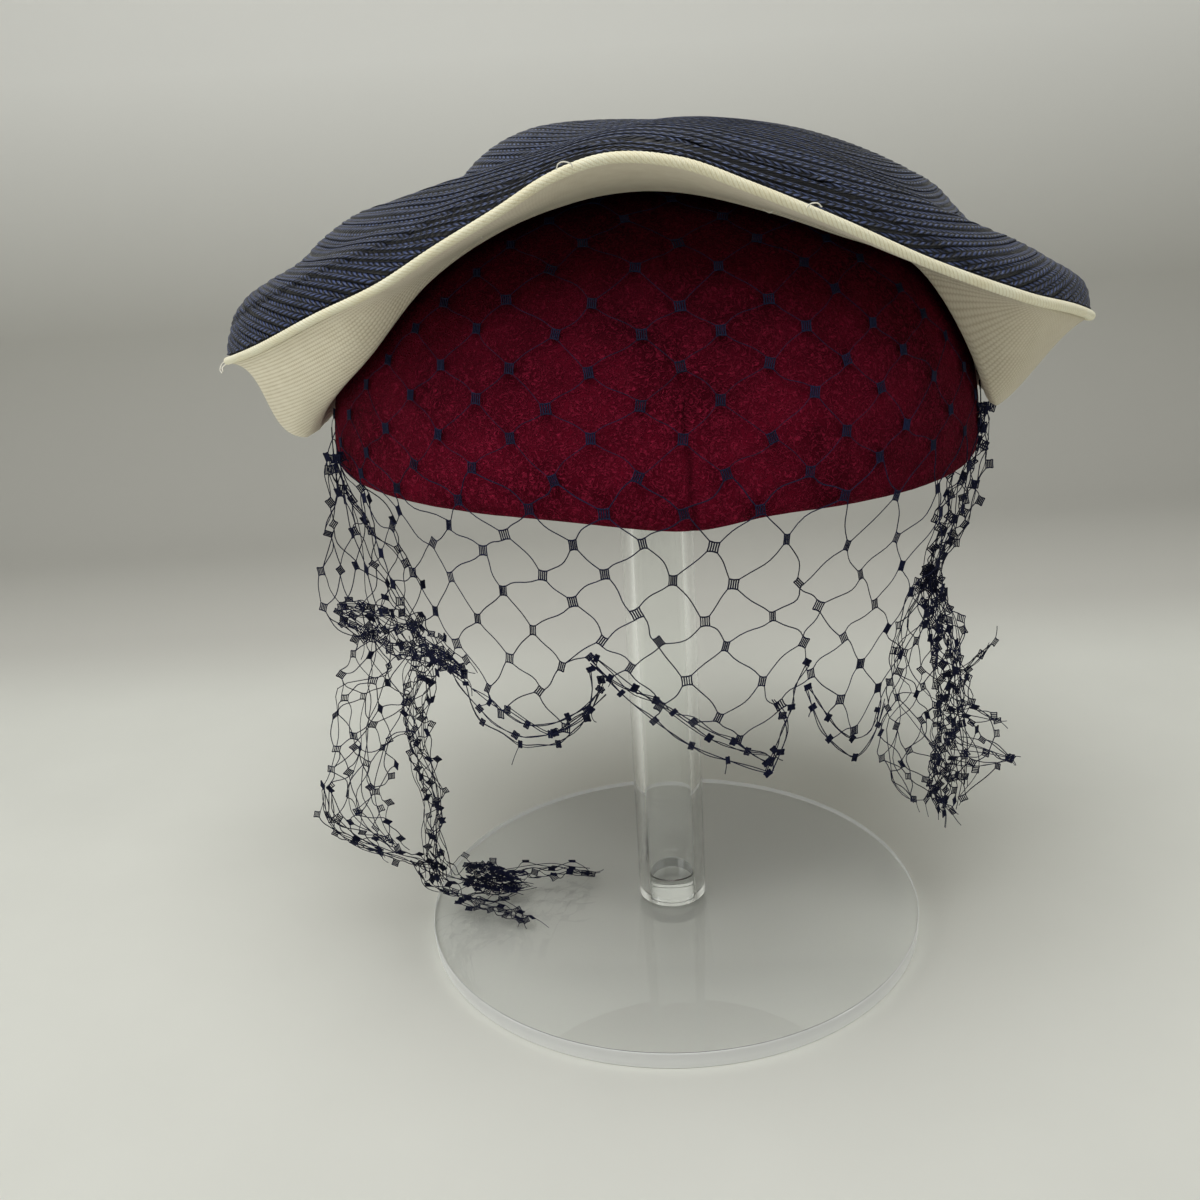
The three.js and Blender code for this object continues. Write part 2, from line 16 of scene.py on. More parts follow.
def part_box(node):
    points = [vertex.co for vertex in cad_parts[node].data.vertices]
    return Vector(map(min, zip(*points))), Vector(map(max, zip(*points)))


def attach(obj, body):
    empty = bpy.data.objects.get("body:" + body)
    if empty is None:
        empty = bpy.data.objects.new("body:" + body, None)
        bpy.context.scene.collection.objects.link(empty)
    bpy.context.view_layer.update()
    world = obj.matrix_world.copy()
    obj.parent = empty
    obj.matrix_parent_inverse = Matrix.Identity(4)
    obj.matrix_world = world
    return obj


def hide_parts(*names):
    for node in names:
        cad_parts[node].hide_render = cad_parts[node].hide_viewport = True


bl_info = {
    "name": "Straw Fascinator",
    "version": (1, 0, 0),
    "blender": (4, 5, 0),
    "location": "View3D > Sidebar > Fascinator",
    "description": "Builds a sewn-straw hat with a knotted net veil on its clear display stand",
    "category": "Add Mesh",
}

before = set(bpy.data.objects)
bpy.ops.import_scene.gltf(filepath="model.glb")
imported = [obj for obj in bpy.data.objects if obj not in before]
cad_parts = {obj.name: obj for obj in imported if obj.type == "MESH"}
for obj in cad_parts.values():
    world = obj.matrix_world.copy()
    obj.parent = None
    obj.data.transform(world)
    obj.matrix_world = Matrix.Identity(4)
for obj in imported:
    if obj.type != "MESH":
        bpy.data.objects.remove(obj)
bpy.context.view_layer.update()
MM = 0.001
DEG = math.pi / 180
BODY = "root"

# ---- Driving sizes ---------------------------------------------------------------------------------
# The stand, the padded top, the edge oval, the crown and the straw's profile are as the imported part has
# them. The cord, the setbacks, the facing's drop, the lip on the right, the net's lift and hem, and the
# gathers are this scene's own.
# The clear stand.
BASE_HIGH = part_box("base_disc")[1]
BASE_RADIUS = BASE_HIGH.x / MM
BASE_TOP = BASE_HIGH.z / MM
POST_LOW, POST_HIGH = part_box("post_tube")
POST_RADIUS = POST_HIGH.x / MM
POST_BORE = 7.5
PLUG_LOW, PLUG_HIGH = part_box("post_plug")

# The padded top: a leaning dome with a rolled rim, which sags where its front seam ends.
PAD_RADIUS = 91.0
PAD_WIDEST = 160.0
PAD_TOP = 236.0
PAD_RIM = 156.0
PAD_FLOOR = 156.8
PAD_LIP_WIDTH = 8.0
PAD_FULLNESS = 2.2
PAD_TILT = 1.7 * DEG
SEAM_AZIMUTH = -87.0
SEAM_SAG = 2.6
SEAM_SPREAD = 14.0

# The hat: its oval edge, the straw, the facing sewn inside the edge and the cord that binds it.
EDGE_CENTRE_X = 1.4
EDGE_HALF_WIDTH = 119.5
EDGE_FRONT = 86.0
EDGE_BACK = 98.0
CROWN = (20.0, -9.0, 243.2)
STRAW_WALL = 1.6
STRAW_FOOT = 0.7
STRAW_SETBACK = 0.9
FACING_WALL = 1.1
FACING_SETBACK = 1.2
FACING_DROP = 0.8
CORD_RADIUS = 0.95
CORD_STRANDS = 6
LIP_CLEARANCE = 2.5
TURN_IN = 5.0
# Where a full elbow of the facing pulls its curve, outwards and up from the binding and from the lip.
ELBOW_AT_BINDING = (-9.0, -2.0)
ELBOW_AT_LIP = (11.0, 0.5)

# The net: how far it lies off the velour, how fast it draws in as it hangs below the widest ring, and
# the least radius at which it is still laid out round the dome.
VEIL_LIFT = 0.75
VEIL_DRAW_IN = 0.0006
VEIL_LEAST_RADIUS = 42.0


def table(columns, rows):
    """A short table: its rows, read by the names of its columns."""
    return dict(zip(columns.split(), np.array(rows, float).T))


EDGE_HEIGHT = table(
    "x front back",
    [
        (-119, 188.5, 188.5), (-98, 195, 191.5), (-78, 203, 196), (-62, 209, 199.5),
        (-48, 216.2, 202), (-34, 223, 204), (-21, 229.6, 205.4), (-9, 232.4, 206),
        (5, 230.6, 206), (18, 225.6, 205.2), (38, 217, 203), (60, 207, 199.5),
        (86, 197.5, 193.5), (103, 192.8, 190), (121.5, 186.8, 186.8),
    ],
)
STRAW_PROFILE = table(
    "reach left right front back",
    [
        (0.0, 1.0, 1.0, 1.0, 1.0), (0.15, 1.02, 0.965, 0.98, 0.985),
        (0.25, 1.03, 0.92, 0.95, 0.955), (0.35, 1.015, 0.855, 0.925, 0.9),
        (0.42, 0.955, 0.8, 0.9, 0.85), (0.47, 0.87, 0.755, 0.885, 0.805),
        (0.505, 0.79, 0.72, 0.865, 0.77), (0.58, 0.735, 0.635, 0.815, 0.68),
        (0.65, 0.69, 0.5, 0.76, 0.585), (0.71, 0.66, 0.4, 0.7, 0.52),
        (0.78, 0.555, 0.345, 0.61, 0.44), (0.83, 0.45, 0.32, 0.52, 0.375),
        (0.9, 0.36, 0.245, 0.335, 0.26), (0.95, 0.275, 0.19, 0.195, 0.17),
        (0.985, 0.14, 0.12, 0.09, 0.075), (1.0, 0.0, 0.0, 0.0, 0.0),
    ],
)
LIP = table(
    "azimuth height standoff elbow",
    [
        (-180, 167, 7.5, 1.0), (-168, 168, 7.5, 1.0), (-159, 175.5, 5.5, 0.8),
        (-150, 183.5, 4.2, 0.6), (-141, 193, 4.2, 0.4), (-133, 208.5, 4.2, 0.25),
        (-122, 219, 4.2, 0.15), (-108, 224.8, 4.2, 0.1), (-94, 226.6, 4.2, 0.1),
        (-80, 225, 4.2, 0.1), (-66, 220, 4.2, 0.1), (-54, 214, 4.2, 0.1),
        (-43, 209, 4.2, 0.1), (-36, 203.5, 4.2, 0.1), (-31, 185, 4.2, 0.1),
        (-25, 170.5, 4.6, 0.25), (-15, 167.5, 4.8, 0.4), (0, 168, 4.8, 0.5),
        (30, 174, 4.6, 0.4), (60, 190, 4.2, 0.3), (90, 198, 4.2, 0.3),
        (120, 191, 4.2, 0.4), (150, 175, 5, 0.7), (180, 167, 7.5, 1.0),
    ],
)
# The groove between the crown and the front brim: how far it runs from the edge, round the plan oval.
GROOVE = table(
    "turn from_edge",
    [
        (-180, 3), (-172, 8), (-162, 11), (-144, 13.5), (-130, 13.5), (-118, 13), (-109, 10.5),
        (-94, 7.4), (-85, 9), (-75, 11), (-68, 9), (-63, 6), (-57, 3.5), (-48, 0), (-30, -4), (0, -6),
        (120, -6), (160, -4), (180, 3),
    ],
)
VEIL_HEM = table(
    "azimuth height",
    [
        (-158, 150), (-150, 132), (-143, 122), (-130, 116), (-117, 101), (-107, 104),
        (-102, 118), (-95, 111), (-84, 101), (-76, 92), (-69, 113), (-60, 92),
        (-52, 104), (-40, 124), (-30, 140), (-22, 150),
    ],
)
# Loose ends of white sewing thread: two loops caught on the cord, two ends below the facing and the two
# frayed ends of the cord at the left tip.
LOOSE_ENDS = (
    (
        (-20.4, -86.1, 230.8), (-20.0, -86.5, 231.8), (-18.9, -86.6, 232.2), (-17.5, -86.4, 231.8),
        (-17.0, -86.0, 231.2),
    ),
    ((30.9, -84.6, 220.5), (31.6, -85.0, 221.2), (33.0, -84.8, 221.2), (33.9, -84.6, 220.4)),
    ((24.8, -62.4, 220.5), (26.2, -63.2, 219.7), (27.2, -63.1, 220.4), (28.3, -62.6, 219.6)),
    ((-38.6, -62.5, 219.8), (-39.2, -63.4, 218.9), (-38.8, -63.6, 218.0)),
    ((-118.6, -7.0, 188.8), (-120.2, -8.0, 188.0), (-120.9, -8.8, 186.4), (-120.4, -9.2, 185.4)),
    ((-118.4, -8.0, 188.2), (-119.9, -9.4, 187.0), (-119.8, -10.0, 185.9)),
)
# Gathered net, a table for each gather: middle line, half width, half depth and how crumpled it is,
# from 0, open, to 1.
GATHER_COLUMNS = "x y z across deep crumple"
LEFT_PANEL = table(
    GATHER_COLUMNS,
    [
        (-83, -46, 166, 2, 2.5, 0.2), (-81, -45, 154, 8, 4, 0.1), (-79.5, -43, 142, 13, 6, 0.0),
        (-79, -42, 130, 15.5, 7, 0.0), (-77, -41, 118, 13, 6, 0.2),
    ],
)
LEFT_CLUSTER = table(
    GATHER_COLUMNS,
    [
        (-88, -40, 123, 4, 4, 0.2), (-79, -42, 120.5, 8, 6, 0.3), (-70, -47, 117.5, 8, 6, 0.4),
        (-62, -53, 115, 4.5, 4, 0.5), (-55, -58, 112, 2, 2, 0.4),
    ],
)
LEFT_SKIRT = table(
    GATHER_COLUMNS,
    [
        (-76, -41, 117, 12, 6, 0.2), (-78, -38, 104, 14, 6, 0.1), (-84, -35, 90, 13.5, 6, 0.0),
        (-90, -31, 74, 10, 6, 0.0), (-94, -28, 61, 11, 5, 0.1), (-94, -25, 50, 10, 4, 0.3),
        (-88, -20, 38, 6, 4, 0.4),
    ],
)
LEFT_SKIRT_HEM = table(
    GATHER_COLUMNS,
    [
        (-103, -30, 64, 1.5, 2, 0.2), (-104, -27, 53, 2, 2, 0.2), (-98, -23, 43, 2, 2, 0.2),
        (-87, -18, 34, 2, 2.5, 0.3), (-77, -10, 24, 3, 3, 0.4),
    ],
)
LEFT_ROPE = table(
    GATHER_COLUMNS,
    [
        (-64, -44, 114, 5, 4, 0.1), (-70, -34, 98, 6, 4.5, 0.2), (-73, -29, 84, 4.5, 5, 0.3),
        (-73.5, -24, 69, 5, 5, 0.3), (-73, -18, 53, 4.5, 4.5, 0.4), (-76, -12, 36, 3.5, 4, 0.6),
        (-76, -8, 20, 5, 5, 0.5),
    ],
)
LEFT_HEAP = table(
    GATHER_COLUMNS,
    [
        (-79, -10, 27, 4, 4, 0.3), (-76, -8, 19, 9, 6, 0.2), (-68, -5, 14, 13, 7, 0.2),
        (-60, -3, 12.5, 11, 6, 0.2), (-53, 0, 11, 6, 4, 0.3),
    ],
)
LEFT_LUMP = table(
    GATHER_COLUMNS,
    [
        (-68, 1, 15, 5, 4, 0.4), (-63, -1, 14.5, 7.5, 5, 0.4), (-58, -2, 13, 7.5, 5, 0.4),
        (-53, -1, 11, 4, 3, 0.4),
    ],
)
LEFT_TAIL = table(
    GATHER_COLUMNS,
    [
        (-58, 2, 12, 8, 4, 0.2), (-47, 7, 10.5, 11, 3, 0.0), (-38, 9, 9.5, 10, 3, 0.0),
        (-28, 8, 8.5, 6, 2.5, 0.1),
    ],
)
LEFT_FRINGE = table(
    GATHER_COLUMNS,
    [
        (-70, -6, 9, 6, 2, 0.3), (-63, -9, 8, 8.5, 2.5, 0.2), (-55, -11, 7.6, 7.5, 2, 0.3),
        (-49, -17, 7.2, 3, 1.5, 0.3),
    ],
)
RIGHT_BAND = table(
    GATHER_COLUMNS,
    [
        (86, -33, 168, 1.5, 1.5, 0.1), (85.5, -31, 158, 4, 3, 0.2), (82.5, -30, 148, 6.5, 4, 0.2),
        (80.5, -30, 137, 5, 4, 0.3), (76.5, -29, 126, 3, 3, 0.5), (75, -28, 117, 3, 3, 0.6),
    ],
)
RIGHT_CORE = table(
    GATHER_COLUMNS,
    [
        (75, -28, 121, 3, 3, 0.5), (77, -28, 111, 4.5, 4, 0.4), (80, -27, 98, 5, 5, 0.4),
        (82, -26, 82, 5, 5, 0.3), (82, -25, 66, 5, 5, 0.3), (82.5, -23, 50, 6, 4, 0.3),
        (84, -22, 42, 3, 3, 0.4),
    ],
)
RIGHT_BELL = table(
    GATHER_COLUMNS,
    [
        (75, -29, 115, 5, 4, 0.1), (75, -28, 104, 11, 6, 0.0), (76.5, -27, 90, 14, 7, 0.0),
        (78, -26, 74, 17, 8, 0.0), (80, -25, 60, 17, 8, 0.0), (82, -23, 49, 12, 6, 0.2),
    ],
)
RIGHT_SPUR = table(
    GATHER_COLUMNS,
    [(82, -26, 88, 2.5, 2.5, 0.3), (89, -24, 91, 1.2, 1.2, 0.3), (95, -22, 96, 0.5, 0.5, 0.2)],
)
RIGHT_HIGH_POINT = table(
    GATHER_COLUMNS,
    [(84, -24, 80, 6, 3, 0.1), (91, -23, 76, 3.5, 2, 0.1), (97.5, -22, 72, 0.5, 0.8, 0.1)],
)
RIGHT_LOW_POINT = table(
    GATHER_COLUMNS,
    [(85, -24, 66, 9, 3, 0.0), (94, -23, 62, 6, 2, 0.0), (102.5, -22, 58.5, 0.8, 1, 0.0)],
)
# Each gather: columns of knots, distance between its rows, folds across it, long threads drawn along it
# and the way it faces.
LEFT_GATHERS = (
    (LEFT_PANEL, 6, 8.6, 2, 2, (0, -1, 0)), (LEFT_CLUSTER, 6, 4.6, 2, 7, (0, -1, 0)),
    (LEFT_SKIRT, 5, 8.4, 2, 5, (0, -1, 0)), (LEFT_SKIRT_HEM, 2, 7.5, 1, 3, (0, -1, 0)),
    (LEFT_ROPE, 3, 6.5, 2, 9, (0, -1, 0)), (LEFT_HEAP, 5, 5.5, 2, 4, (0, 0, 1)),
    (LEFT_LUMP, 9, 2.6, 3, 10, (0, 0, 1)), (LEFT_TAIL, 4, 5.4, 1, 1, (0, 0, 1)),
    (LEFT_FRINGE, 4, 5.0, 1, 0, (0, 0, 1)),
)
RIGHT_GATHERS = (
    (RIGHT_BAND, 5, 5.2, 2, 8, (0, -1, 0)), (RIGHT_CORE, 5, 4.8, 2, 5, (0, -1, 0)),
    (RIGHT_BELL, 7, 7.6, 2, 8, (0, -1, 0)), (RIGHT_SPUR, 1, 4.5, 1, 5, (0, -1, 0)),
    (RIGHT_HIGH_POINT, 2, 6.0, 1, 2, (0, -1, 0)), (RIGHT_LOW_POINT, 3, 7.0, 1, 3, (0, -1, 0)),
)
# Single threads with a knot that hang in the open at each end of the facing.
STRAY_LOOPS = {
    "left": ((-81.8, -47, 173.4), (-84.6, -46, 168.0), (-85.4, -45, 163.4), (-84.0, -45, 157.0)),
    "right": (
        (85, -29, 176.7), (89.5, -26, 170.5), (91.2, -25, 166.0), (86.0, -27, 165.0), (79, -32, 162.6),
    ),
}
# Rows of the veil's hem that are drawn together, as places round the velour and below its widest ring.
HEM_ROWS = (
    ((-19, 36), (-12, 45), (-1, 54), (9, 61), (24, 68)),
    ((-19, 37), (-8, 44), (2, 50), (12, 57), (24, 65)),
    ((-18, 37), (-10, 43), (0, 50), (10, 58), (24, 64)),
    ((-57, 43), (-52, 57), (-42, 61), (-30, 60), (-21, 52), (-17, 42)),
    ((-59, 45), (-49, 54), (-38, 59), (-27, 55), (-16, 45)),
    ((-52, 48), (-41, 54), (-34, 55), (-23, 50), (-17, 44)),
    ((-41, 52), (-30, 56), (-20, 48), (-19, 38)),
    ((24, 48), (28, 55), (25, 68)),
    ((34, 41), (31, 51), (27, 62), (24, 69)),
    ((33, 47), (39, 59), (51, 70), (57, 63), (59, 57)),
    ((34, 47), (46, 62), (55, 65), (58, 59)),
)


# ---- Surfaces --------------------------------------------------------------------------------------
def read_table(rows, key, column, at):
    """Reads a column at a key, on a smooth curve through the table's rows."""
    keys, values = rows[key], rows[column]
    last = len(keys) - 1
    low = np.clip(np.searchsorted(keys, at) - 1, 0, last - 1)
    high = low + 1
    before = np.maximum(low - 1, 0)
    after = np.minimum(low + 2, last)
    step = keys[high] - keys[low]
    s = np.clip((at - keys[low]) / step, 0, 1)
    slope_low = (values[high] - values[before]) / (keys[high] - keys[before]) * step
    slope_high = (values[after] - values[low]) / (keys[after] - keys[low]) * step
    s2, s3 = s * s, s * s * s
    return (
        (2 * s3 - 3 * s2 + 1) * values[low]
        + (s3 - 2 * s2 + s) * slope_low
        + (3 * s2 - 2 * s3) * values[high]
        + (s3 - s2) * slope_high
    )


def unit(vectors):
    """Vectors of length 1 in the same directions."""
    return vectors / np.maximum(np.linalg.norm(vectors, axis=-1, keepdims=True), 1e-9)


def distance_along(places, axis=0):
    """Distance walked from the first place to each of them, along an axis of a line or grid of places."""
    walked = np.cumsum(np.linalg.norm(np.diff(places, axis=axis), axis=-1), axis=axis)
    return np.concatenate([np.zeros_like(walked.take([0], axis=axis)), walked], axis=axis)


def bend(start, leave, arrive, end, s):
    """A smooth curve between two places, pulled towards two others on the way, at shares s of it."""
    first_half = (1 - s) ** 3 * start + 3 * s * (1 - s) ** 2 * leave
    return first_half + 3 * s * s * (1 - s) * arrive + s**3 * end


def pad_radius(z):
    """Radius of the padded top's upright profile at a height."""
    h = np.clip((z - PAD_WIDEST) / (PAD_TOP - PAD_WIDEST), 0, 1)
    return PAD_RADIUS * (1 - h**PAD_FULLNESS) ** (1 / PAD_FULLNESS)


def tilted(x, y, z):
    """Tilts a point of the upright padded top about the Y axis, at the height of its widest ring."""
    h = z - PAD_WIDEST
    c, s = math.cos(PAD_TILT), math.sin(PAD_TILT)
    return np.stack(np.broadcast_arrays(x * c + h * s, y, PAD_WIDEST + h * c - x * s), axis=-1)


def edge_point(t):
    """The middle of the hat's bound edge at an angle of its plan oval."""
    x = EDGE_CENTRE_X + EDGE_HALF_WIDTH * np.cos(t)
    back = np.sin(t) > 0
    y = np.sin(t) * np.where(back, EDGE_BACK, EDGE_FRONT)
    front_height = read_table(EDGE_HEIGHT, "x", "front", x)
    back_height = read_table(EDGE_HEIGHT, "x", "back", x)
    return np.stack([x, y, np.where(back, back_height, front_height)], axis=-1)


def straw_point(reach, t):
    """The straw's outer surface, from the crown's middle (reach 0) to the edge (reach 1)."""
    reach, t = np.broadcast_arrays(reach, t)
    edge = edge_point(t)
    left = read_table(STRAW_PROFILE, "reach", "left", reach)
    right = read_table(STRAW_PROFILE, "reach", "right", reach)
    front = read_table(STRAW_PROFILE, "reach", "front", reach)
    back = read_table(STRAW_PROFILE, "reach", "back", reach)
    side = np.where(np.cos(t) < 0, left, right)
    end = np.where(np.sin(t) < 0, front, back)
    share = end + (side - end) * (1 - np.sin(t) ** 4)
    foot = edge[..., 2] + STRAW_FOOT
    return np.stack(
        [
            CROWN[0] + (edge[..., 0] - CROWN[0]) * reach,
            CROWN[1] + (edge[..., 1] - CROWN[1]) * reach,
            foot + (CROWN[2] - foot) * share,
        ],
        axis=-1,
    )


def straw_normal(reach, t):
    """Outward normal of the straw's surface."""
    apart = 0.01
    near = np.clip(reach, 0.02, 0.985)
    along = straw_point(near + apart, t) - straw_point(near - apart, t)
    around = straw_point(near, t + apart) - straw_point(near, t - apart)
    return unit(np.cross(along, around))


def lip_place(azimuth):
    """The facing's lip in its radial plane: its place, the velour's normal and rise, and its standoff."""
    height = read_table(LIP, "azimuth", "height", azimuth)
    standoff = read_table(LIP, "azimuth", "standoff", azimuth)
    lean = math.sin(PAD_TILT) * np.cos(azimuth * DEG)
    normal = np.stack([np.ones_like(height), np.zeros_like(height)], axis=-1)
    radius = np.full_like(height, PAD_RADIUS)
    # The normal depends on where the lip meets the velour, so the two are settled in turn.
    for _ in range(6):
        upright = height + radius * lean - normal[:, 1] * standoff
        slope = pad_radius(upright - 0.5) - pad_radius(upright + 0.5)
        normal = unit(np.stack([np.ones_like(slope), slope], axis=-1))
        radius = pad_radius(upright) + normal[:, 0] * standoff + (upright - PAD_WIDEST) * lean
    rise = np.stack([-normal[:, 1], normal[:, 0]], axis=-1)
    return np.stack([radius, height], axis=-1), normal, rise, standoff


def facing_sections(t, steps):
    """The facing's visible side: radial and height places from the binding to its turned-in end."""
    edge = edge_point(t)
    azimuth = np.arctan2(edge[:, 1], edge[:, 0]) / DEG
    elbow = read_table(LIP, "azimuth", "elbow", azimuth)[:, None]
    lip, normal, rise, standoff = lip_place(azimuth)
    radius = np.hypot(edge[:, 0], edge[:, 1]) - FACING_SETBACK
    start = np.stack([radius, edge[:, 2] - FACING_DROP], axis=-1)
    chord = (lip - start) / 3
    leave = start + chord + (np.array(ELBOW_AT_BINDING) - chord) * elbow
    arrive = lip - chord + (np.array(ELBOW_AT_LIP) + chord) * elbow
    s = np.linspace(0, 1, steps)[None, :, None]
    curve = bend(start[:, None], leave[:, None], arrive[:, None], lip[:, None], s)
    # The lip's roll: distances up along the velour, and in towards it.
    roll = (standoff - LIP_CLEARANCE)[:, None]
    turns = (
        (0.12 * roll + 0.15, 0.3 * roll), (0.3 * roll + 0.4, 0.7 * roll), (0.6 * roll + 0.7, 0.93 * roll),
        (roll + 1, roll), (roll + 1 + TURN_IN, roll),
    )
    turned = [lip + rise * up - normal * inward for up, inward in turns]
    return np.concatenate([curve, np.stack(turned, axis=1)], axis=1), azimuth


def veil_point(sideways, drop, lift):
    """The veil's surface. Sideways is measured round the velour from the front, and drop down from the
    velour's widest ring, so the net keeps its cell size as it climbs the dome."""
    sideways, drop, lift = np.broadcast_arrays(sideways, drop, lift)
    z = np.linspace(PAD_WIDEST, PAD_TOP - 0.5, 400)
    r = pad_radius(z)
    walked = distance_along(np.stack([r, z], axis=-1))
    up = np.clip(-drop, 0, walked[-1])
    at = np.interp(up, walked, z)
    radius = np.interp(up, walked, r)
    slope = np.interp(up, walked, np.gradient(r, z))
    normal = unit(np.stack([np.ones_like(slope), -slope], axis=-1))
    down = np.maximum(drop, 0)
    a = -90 * DEG + sideways / np.maximum(radius, VEIL_LEAST_RADIUS)
    out = radius + normal[..., 0] * lift - VEIL_DRAW_IN * down * down
    return tilted(out * np.cos(a), out * np.sin(a), at + normal[..., 1] * lift - down)


# ---- Mesh tools ------------------------------------------------------------------------------------
def grid_corners(rows, columns, wrap_rows):
    """The (row, column) places of the corners of each face of a grid, counted on past a closed seam."""
    r, c = np.meshgrid(np.arange(rows if wrap_rows else rows - 1), np.arange(columns), indexing="ij")
    r, c = r.ravel(), c.ravel()
    return np.array([(r, c), (r, c + 1), (r + 1, c + 1), (r + 1, c)])


def grid_mesh(points, uv=None, wrap_rows=False, poles=()):
    """Vertices, faces and face-corner UVs of a grid of points whose rows run round and close. Its first
    and last rows join where wrap_rows says so, or are closed by poles where they are given."""
    rows, columns = points.shape[:2]
    corners = grid_corners(rows, columns, wrap_rows)
    index = (corners[:, 0] % rows) * columns + corners[:, 1] % columns
    faces = index.T.tolist()
    vertices = points.reshape(-1, 3)
    loops = []
    if uv is not None:
        loops = uv[corners[:, 0], corners[:, 1]].transpose(1, 0, 2).reshape(-1, 2)
    if poles:
        first = len(vertices)
        vertices = np.concatenate([vertices, np.array(poles, float)])
        last_row = (rows - 1) * columns
        cap_uv = []
        for c in range(columns):
            beside = (c + 1) % columns
            faces += [(first, beside, c), (first + 1, last_row + c, last_row + beside)]
            if uv is not None:
                cap_uv += [uv[0, c], uv[0, c + 1], uv[0, c], uv[-1, c], uv[-1, c], uv[-1, c + 1]]
        if uv is not None:
            loops = np.concatenate([loops, np.array(cap_uv)])
    return vertices, faces, loops


def mesh_object(name, vertices, faces, loops=(), closed=True, marks=None):
    """A new smooth mesh object from millimetre places, merged and, if closed, with its faces pointing
    outwards. Marks are named values, one for each place."""
    mesh = bpy.data.meshes.new(name)
    mesh.from_pydata((np.asarray(vertices) * MM).tolist(), [], faces)
    for key, values in (marks or {}).items():
        mesh.attributes.new(key, "FLOAT", "POINT").data.foreach_set("value", values.astype(np.float32))
    if len(loops):
        layer = mesh.uv_layers.new(name="UVMap")
        layer.data.foreach_set("uv", np.asarray(loops, np.float32).ravel())
    work = bmesh.new()
    work.from_mesh(mesh)
    bmesh.ops.remove_doubles(work, verts=work.verts, dist=0.002 * MM)
    bmesh.ops.dissolve_degenerate(work, edges=work.edges, dist=0.0001 * MM)
    if closed and work.calc_volume(signed=True) < 0:
        bmesh.ops.reverse_faces(work, faces=work.faces)
    for face in work.faces:
        face.smooth = True
    work.to_mesh(mesh)
    work.free()
    obj = bpy.data.objects.new(name, mesh)
    bpy.context.scene.collection.objects.link(obj)
    return obj


def lathe(name, outline, segments):
    """A turned body from (radius, height) pairs that start and end on the axis or close on themselves."""
    outline = np.array(outline, float)
    hollow = outline[0, 0] > 0
    body = outline if hollow else outline[1:-1]
    a = np.linspace(-math.pi, math.pi, segments, endpoint=False)[None, :]
    r, z = body[:, :1], body[:, 1:]
    points = np.stack(np.broadcast_arrays(r * np.cos(a), r * np.sin(a), z), axis=-1)
    poles = () if hollow else ((0, 0, outline[0, 1]), (0, 0, outline[-1, 1]))
    return mesh_object(name, *grid_mesh(points, None, hollow, poles))


def rounded(corner, radius, start):
    """Points of a quarter round at a corner of a turned outline, from an angle in degrees onwards."""
    x, y = corner
    steps = 4
    turns = [(start + 90 * k / steps) * DEG for k in range(steps + 1)]
    return [(x + radius * math.cos(turn), y + radius * math.sin(turn)) for turn in turns]


def dress(obj, material, slot, *nodes):
    """Gives a finished piece its material and its body, and hides the solids it stands for. Its slot
    argument is not used.
    """
    obj.data.materials.clear()
    obj.data.materials.append(material)
    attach(obj, BODY)
    if nodes:
        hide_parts(*nodes)


# ---- Node tools ------------------------------------------------------------------------------------
def node(tree, kind, inputs=(), **settings):
    """Adds a node with its settings. Its inputs, by name or place, are values, or nodes and sockets that
    are linked to them."""
    made = tree.nodes.new(kind)
    for key, value in settings.items():
        setattr(made, key, value)
    for key, value in dict(inputs).items():
        source = value.outputs[0] if isinstance(value, bpy.types.Node) else value
        if isinstance(source, bpy.types.NodeSocket):
            tree.links.new(source, made.inputs[key])
        else:
            made.inputs[key].default_value = source
    return made


def linear(colour):
    """A linear RGBA colour from an sRGB one: a hex value such as "#1d2436", or three shares."""
    if isinstance(colour, str):
        colour = [int(colour[i : i + 2], 16) / 255 for i in (1, 3, 5)]
    return tuple(c / 12.92 if c <= 0.04045 else ((c + 0.055) / 1.055) ** 2.4 for c in colour) + (1.0,)


def new_material(name):
    """An empty node material, and its tree."""
    material = bpy.data.materials.new(name)
    material.use_nodes = True
    material.node_tree.nodes.clear()
    return material, material.node_tree


def ridges(tree, count):
    """The height of round ridges, one for each whole count: 0 in the grooves and 1 on their backs."""
    turn = node(tree, "ShaderNodeMath", {0: count, 1: math.pi}, operation="MULTIPLY")
    wave = node(tree, "ShaderNodeMath", {0: turn}, operation="SINE")
    return node(tree, "ShaderNodeMath", {0: wave}, operation="ABSOLUTE")


# ---- Materials -------------------------------------------------------------------------------------
def cast_acrylic():
    """Clear cast acrylic, flame polished: it bends what is behind it, glints on its rims, lets over half
    of the light through to the floor, and faint wipe marks about 14 mm across dull it."""
    material, tree = new_material("cast_acrylic_polished")
    place = node(tree, "ShaderNodeTexCoord").outputs["Object"]
    wiped = node(tree, "ShaderNodeTexNoise", {"Vector": place, "Scale": 1 / (14 * MM), "Detail": 4.0})
    dull = node(tree, "ShaderNodeMapRange", {0: wiped, 1: 0.45, 2: 0.8, 3: 0.0, 4: 0.06})
    shadow = node(tree, "ShaderNodeLightPath").outputs["Is Shadow Ray"]
    stops = node(tree, "ShaderNodeMapRange", {0: shadow, 3: 1.0, 4: 0.42})
    finish = {
        "Base Color": linear("#fdfefd"), "Roughness": dull, "Alpha": stops, "IOR": 1.49,
        "Transmission Weight": 1.0,
    }
    shader = node(tree, "ShaderNodeBsdfPrincipled", finish)
    node(tree, "ShaderNodeOutputMaterial", {"Surface": shader})
    return material


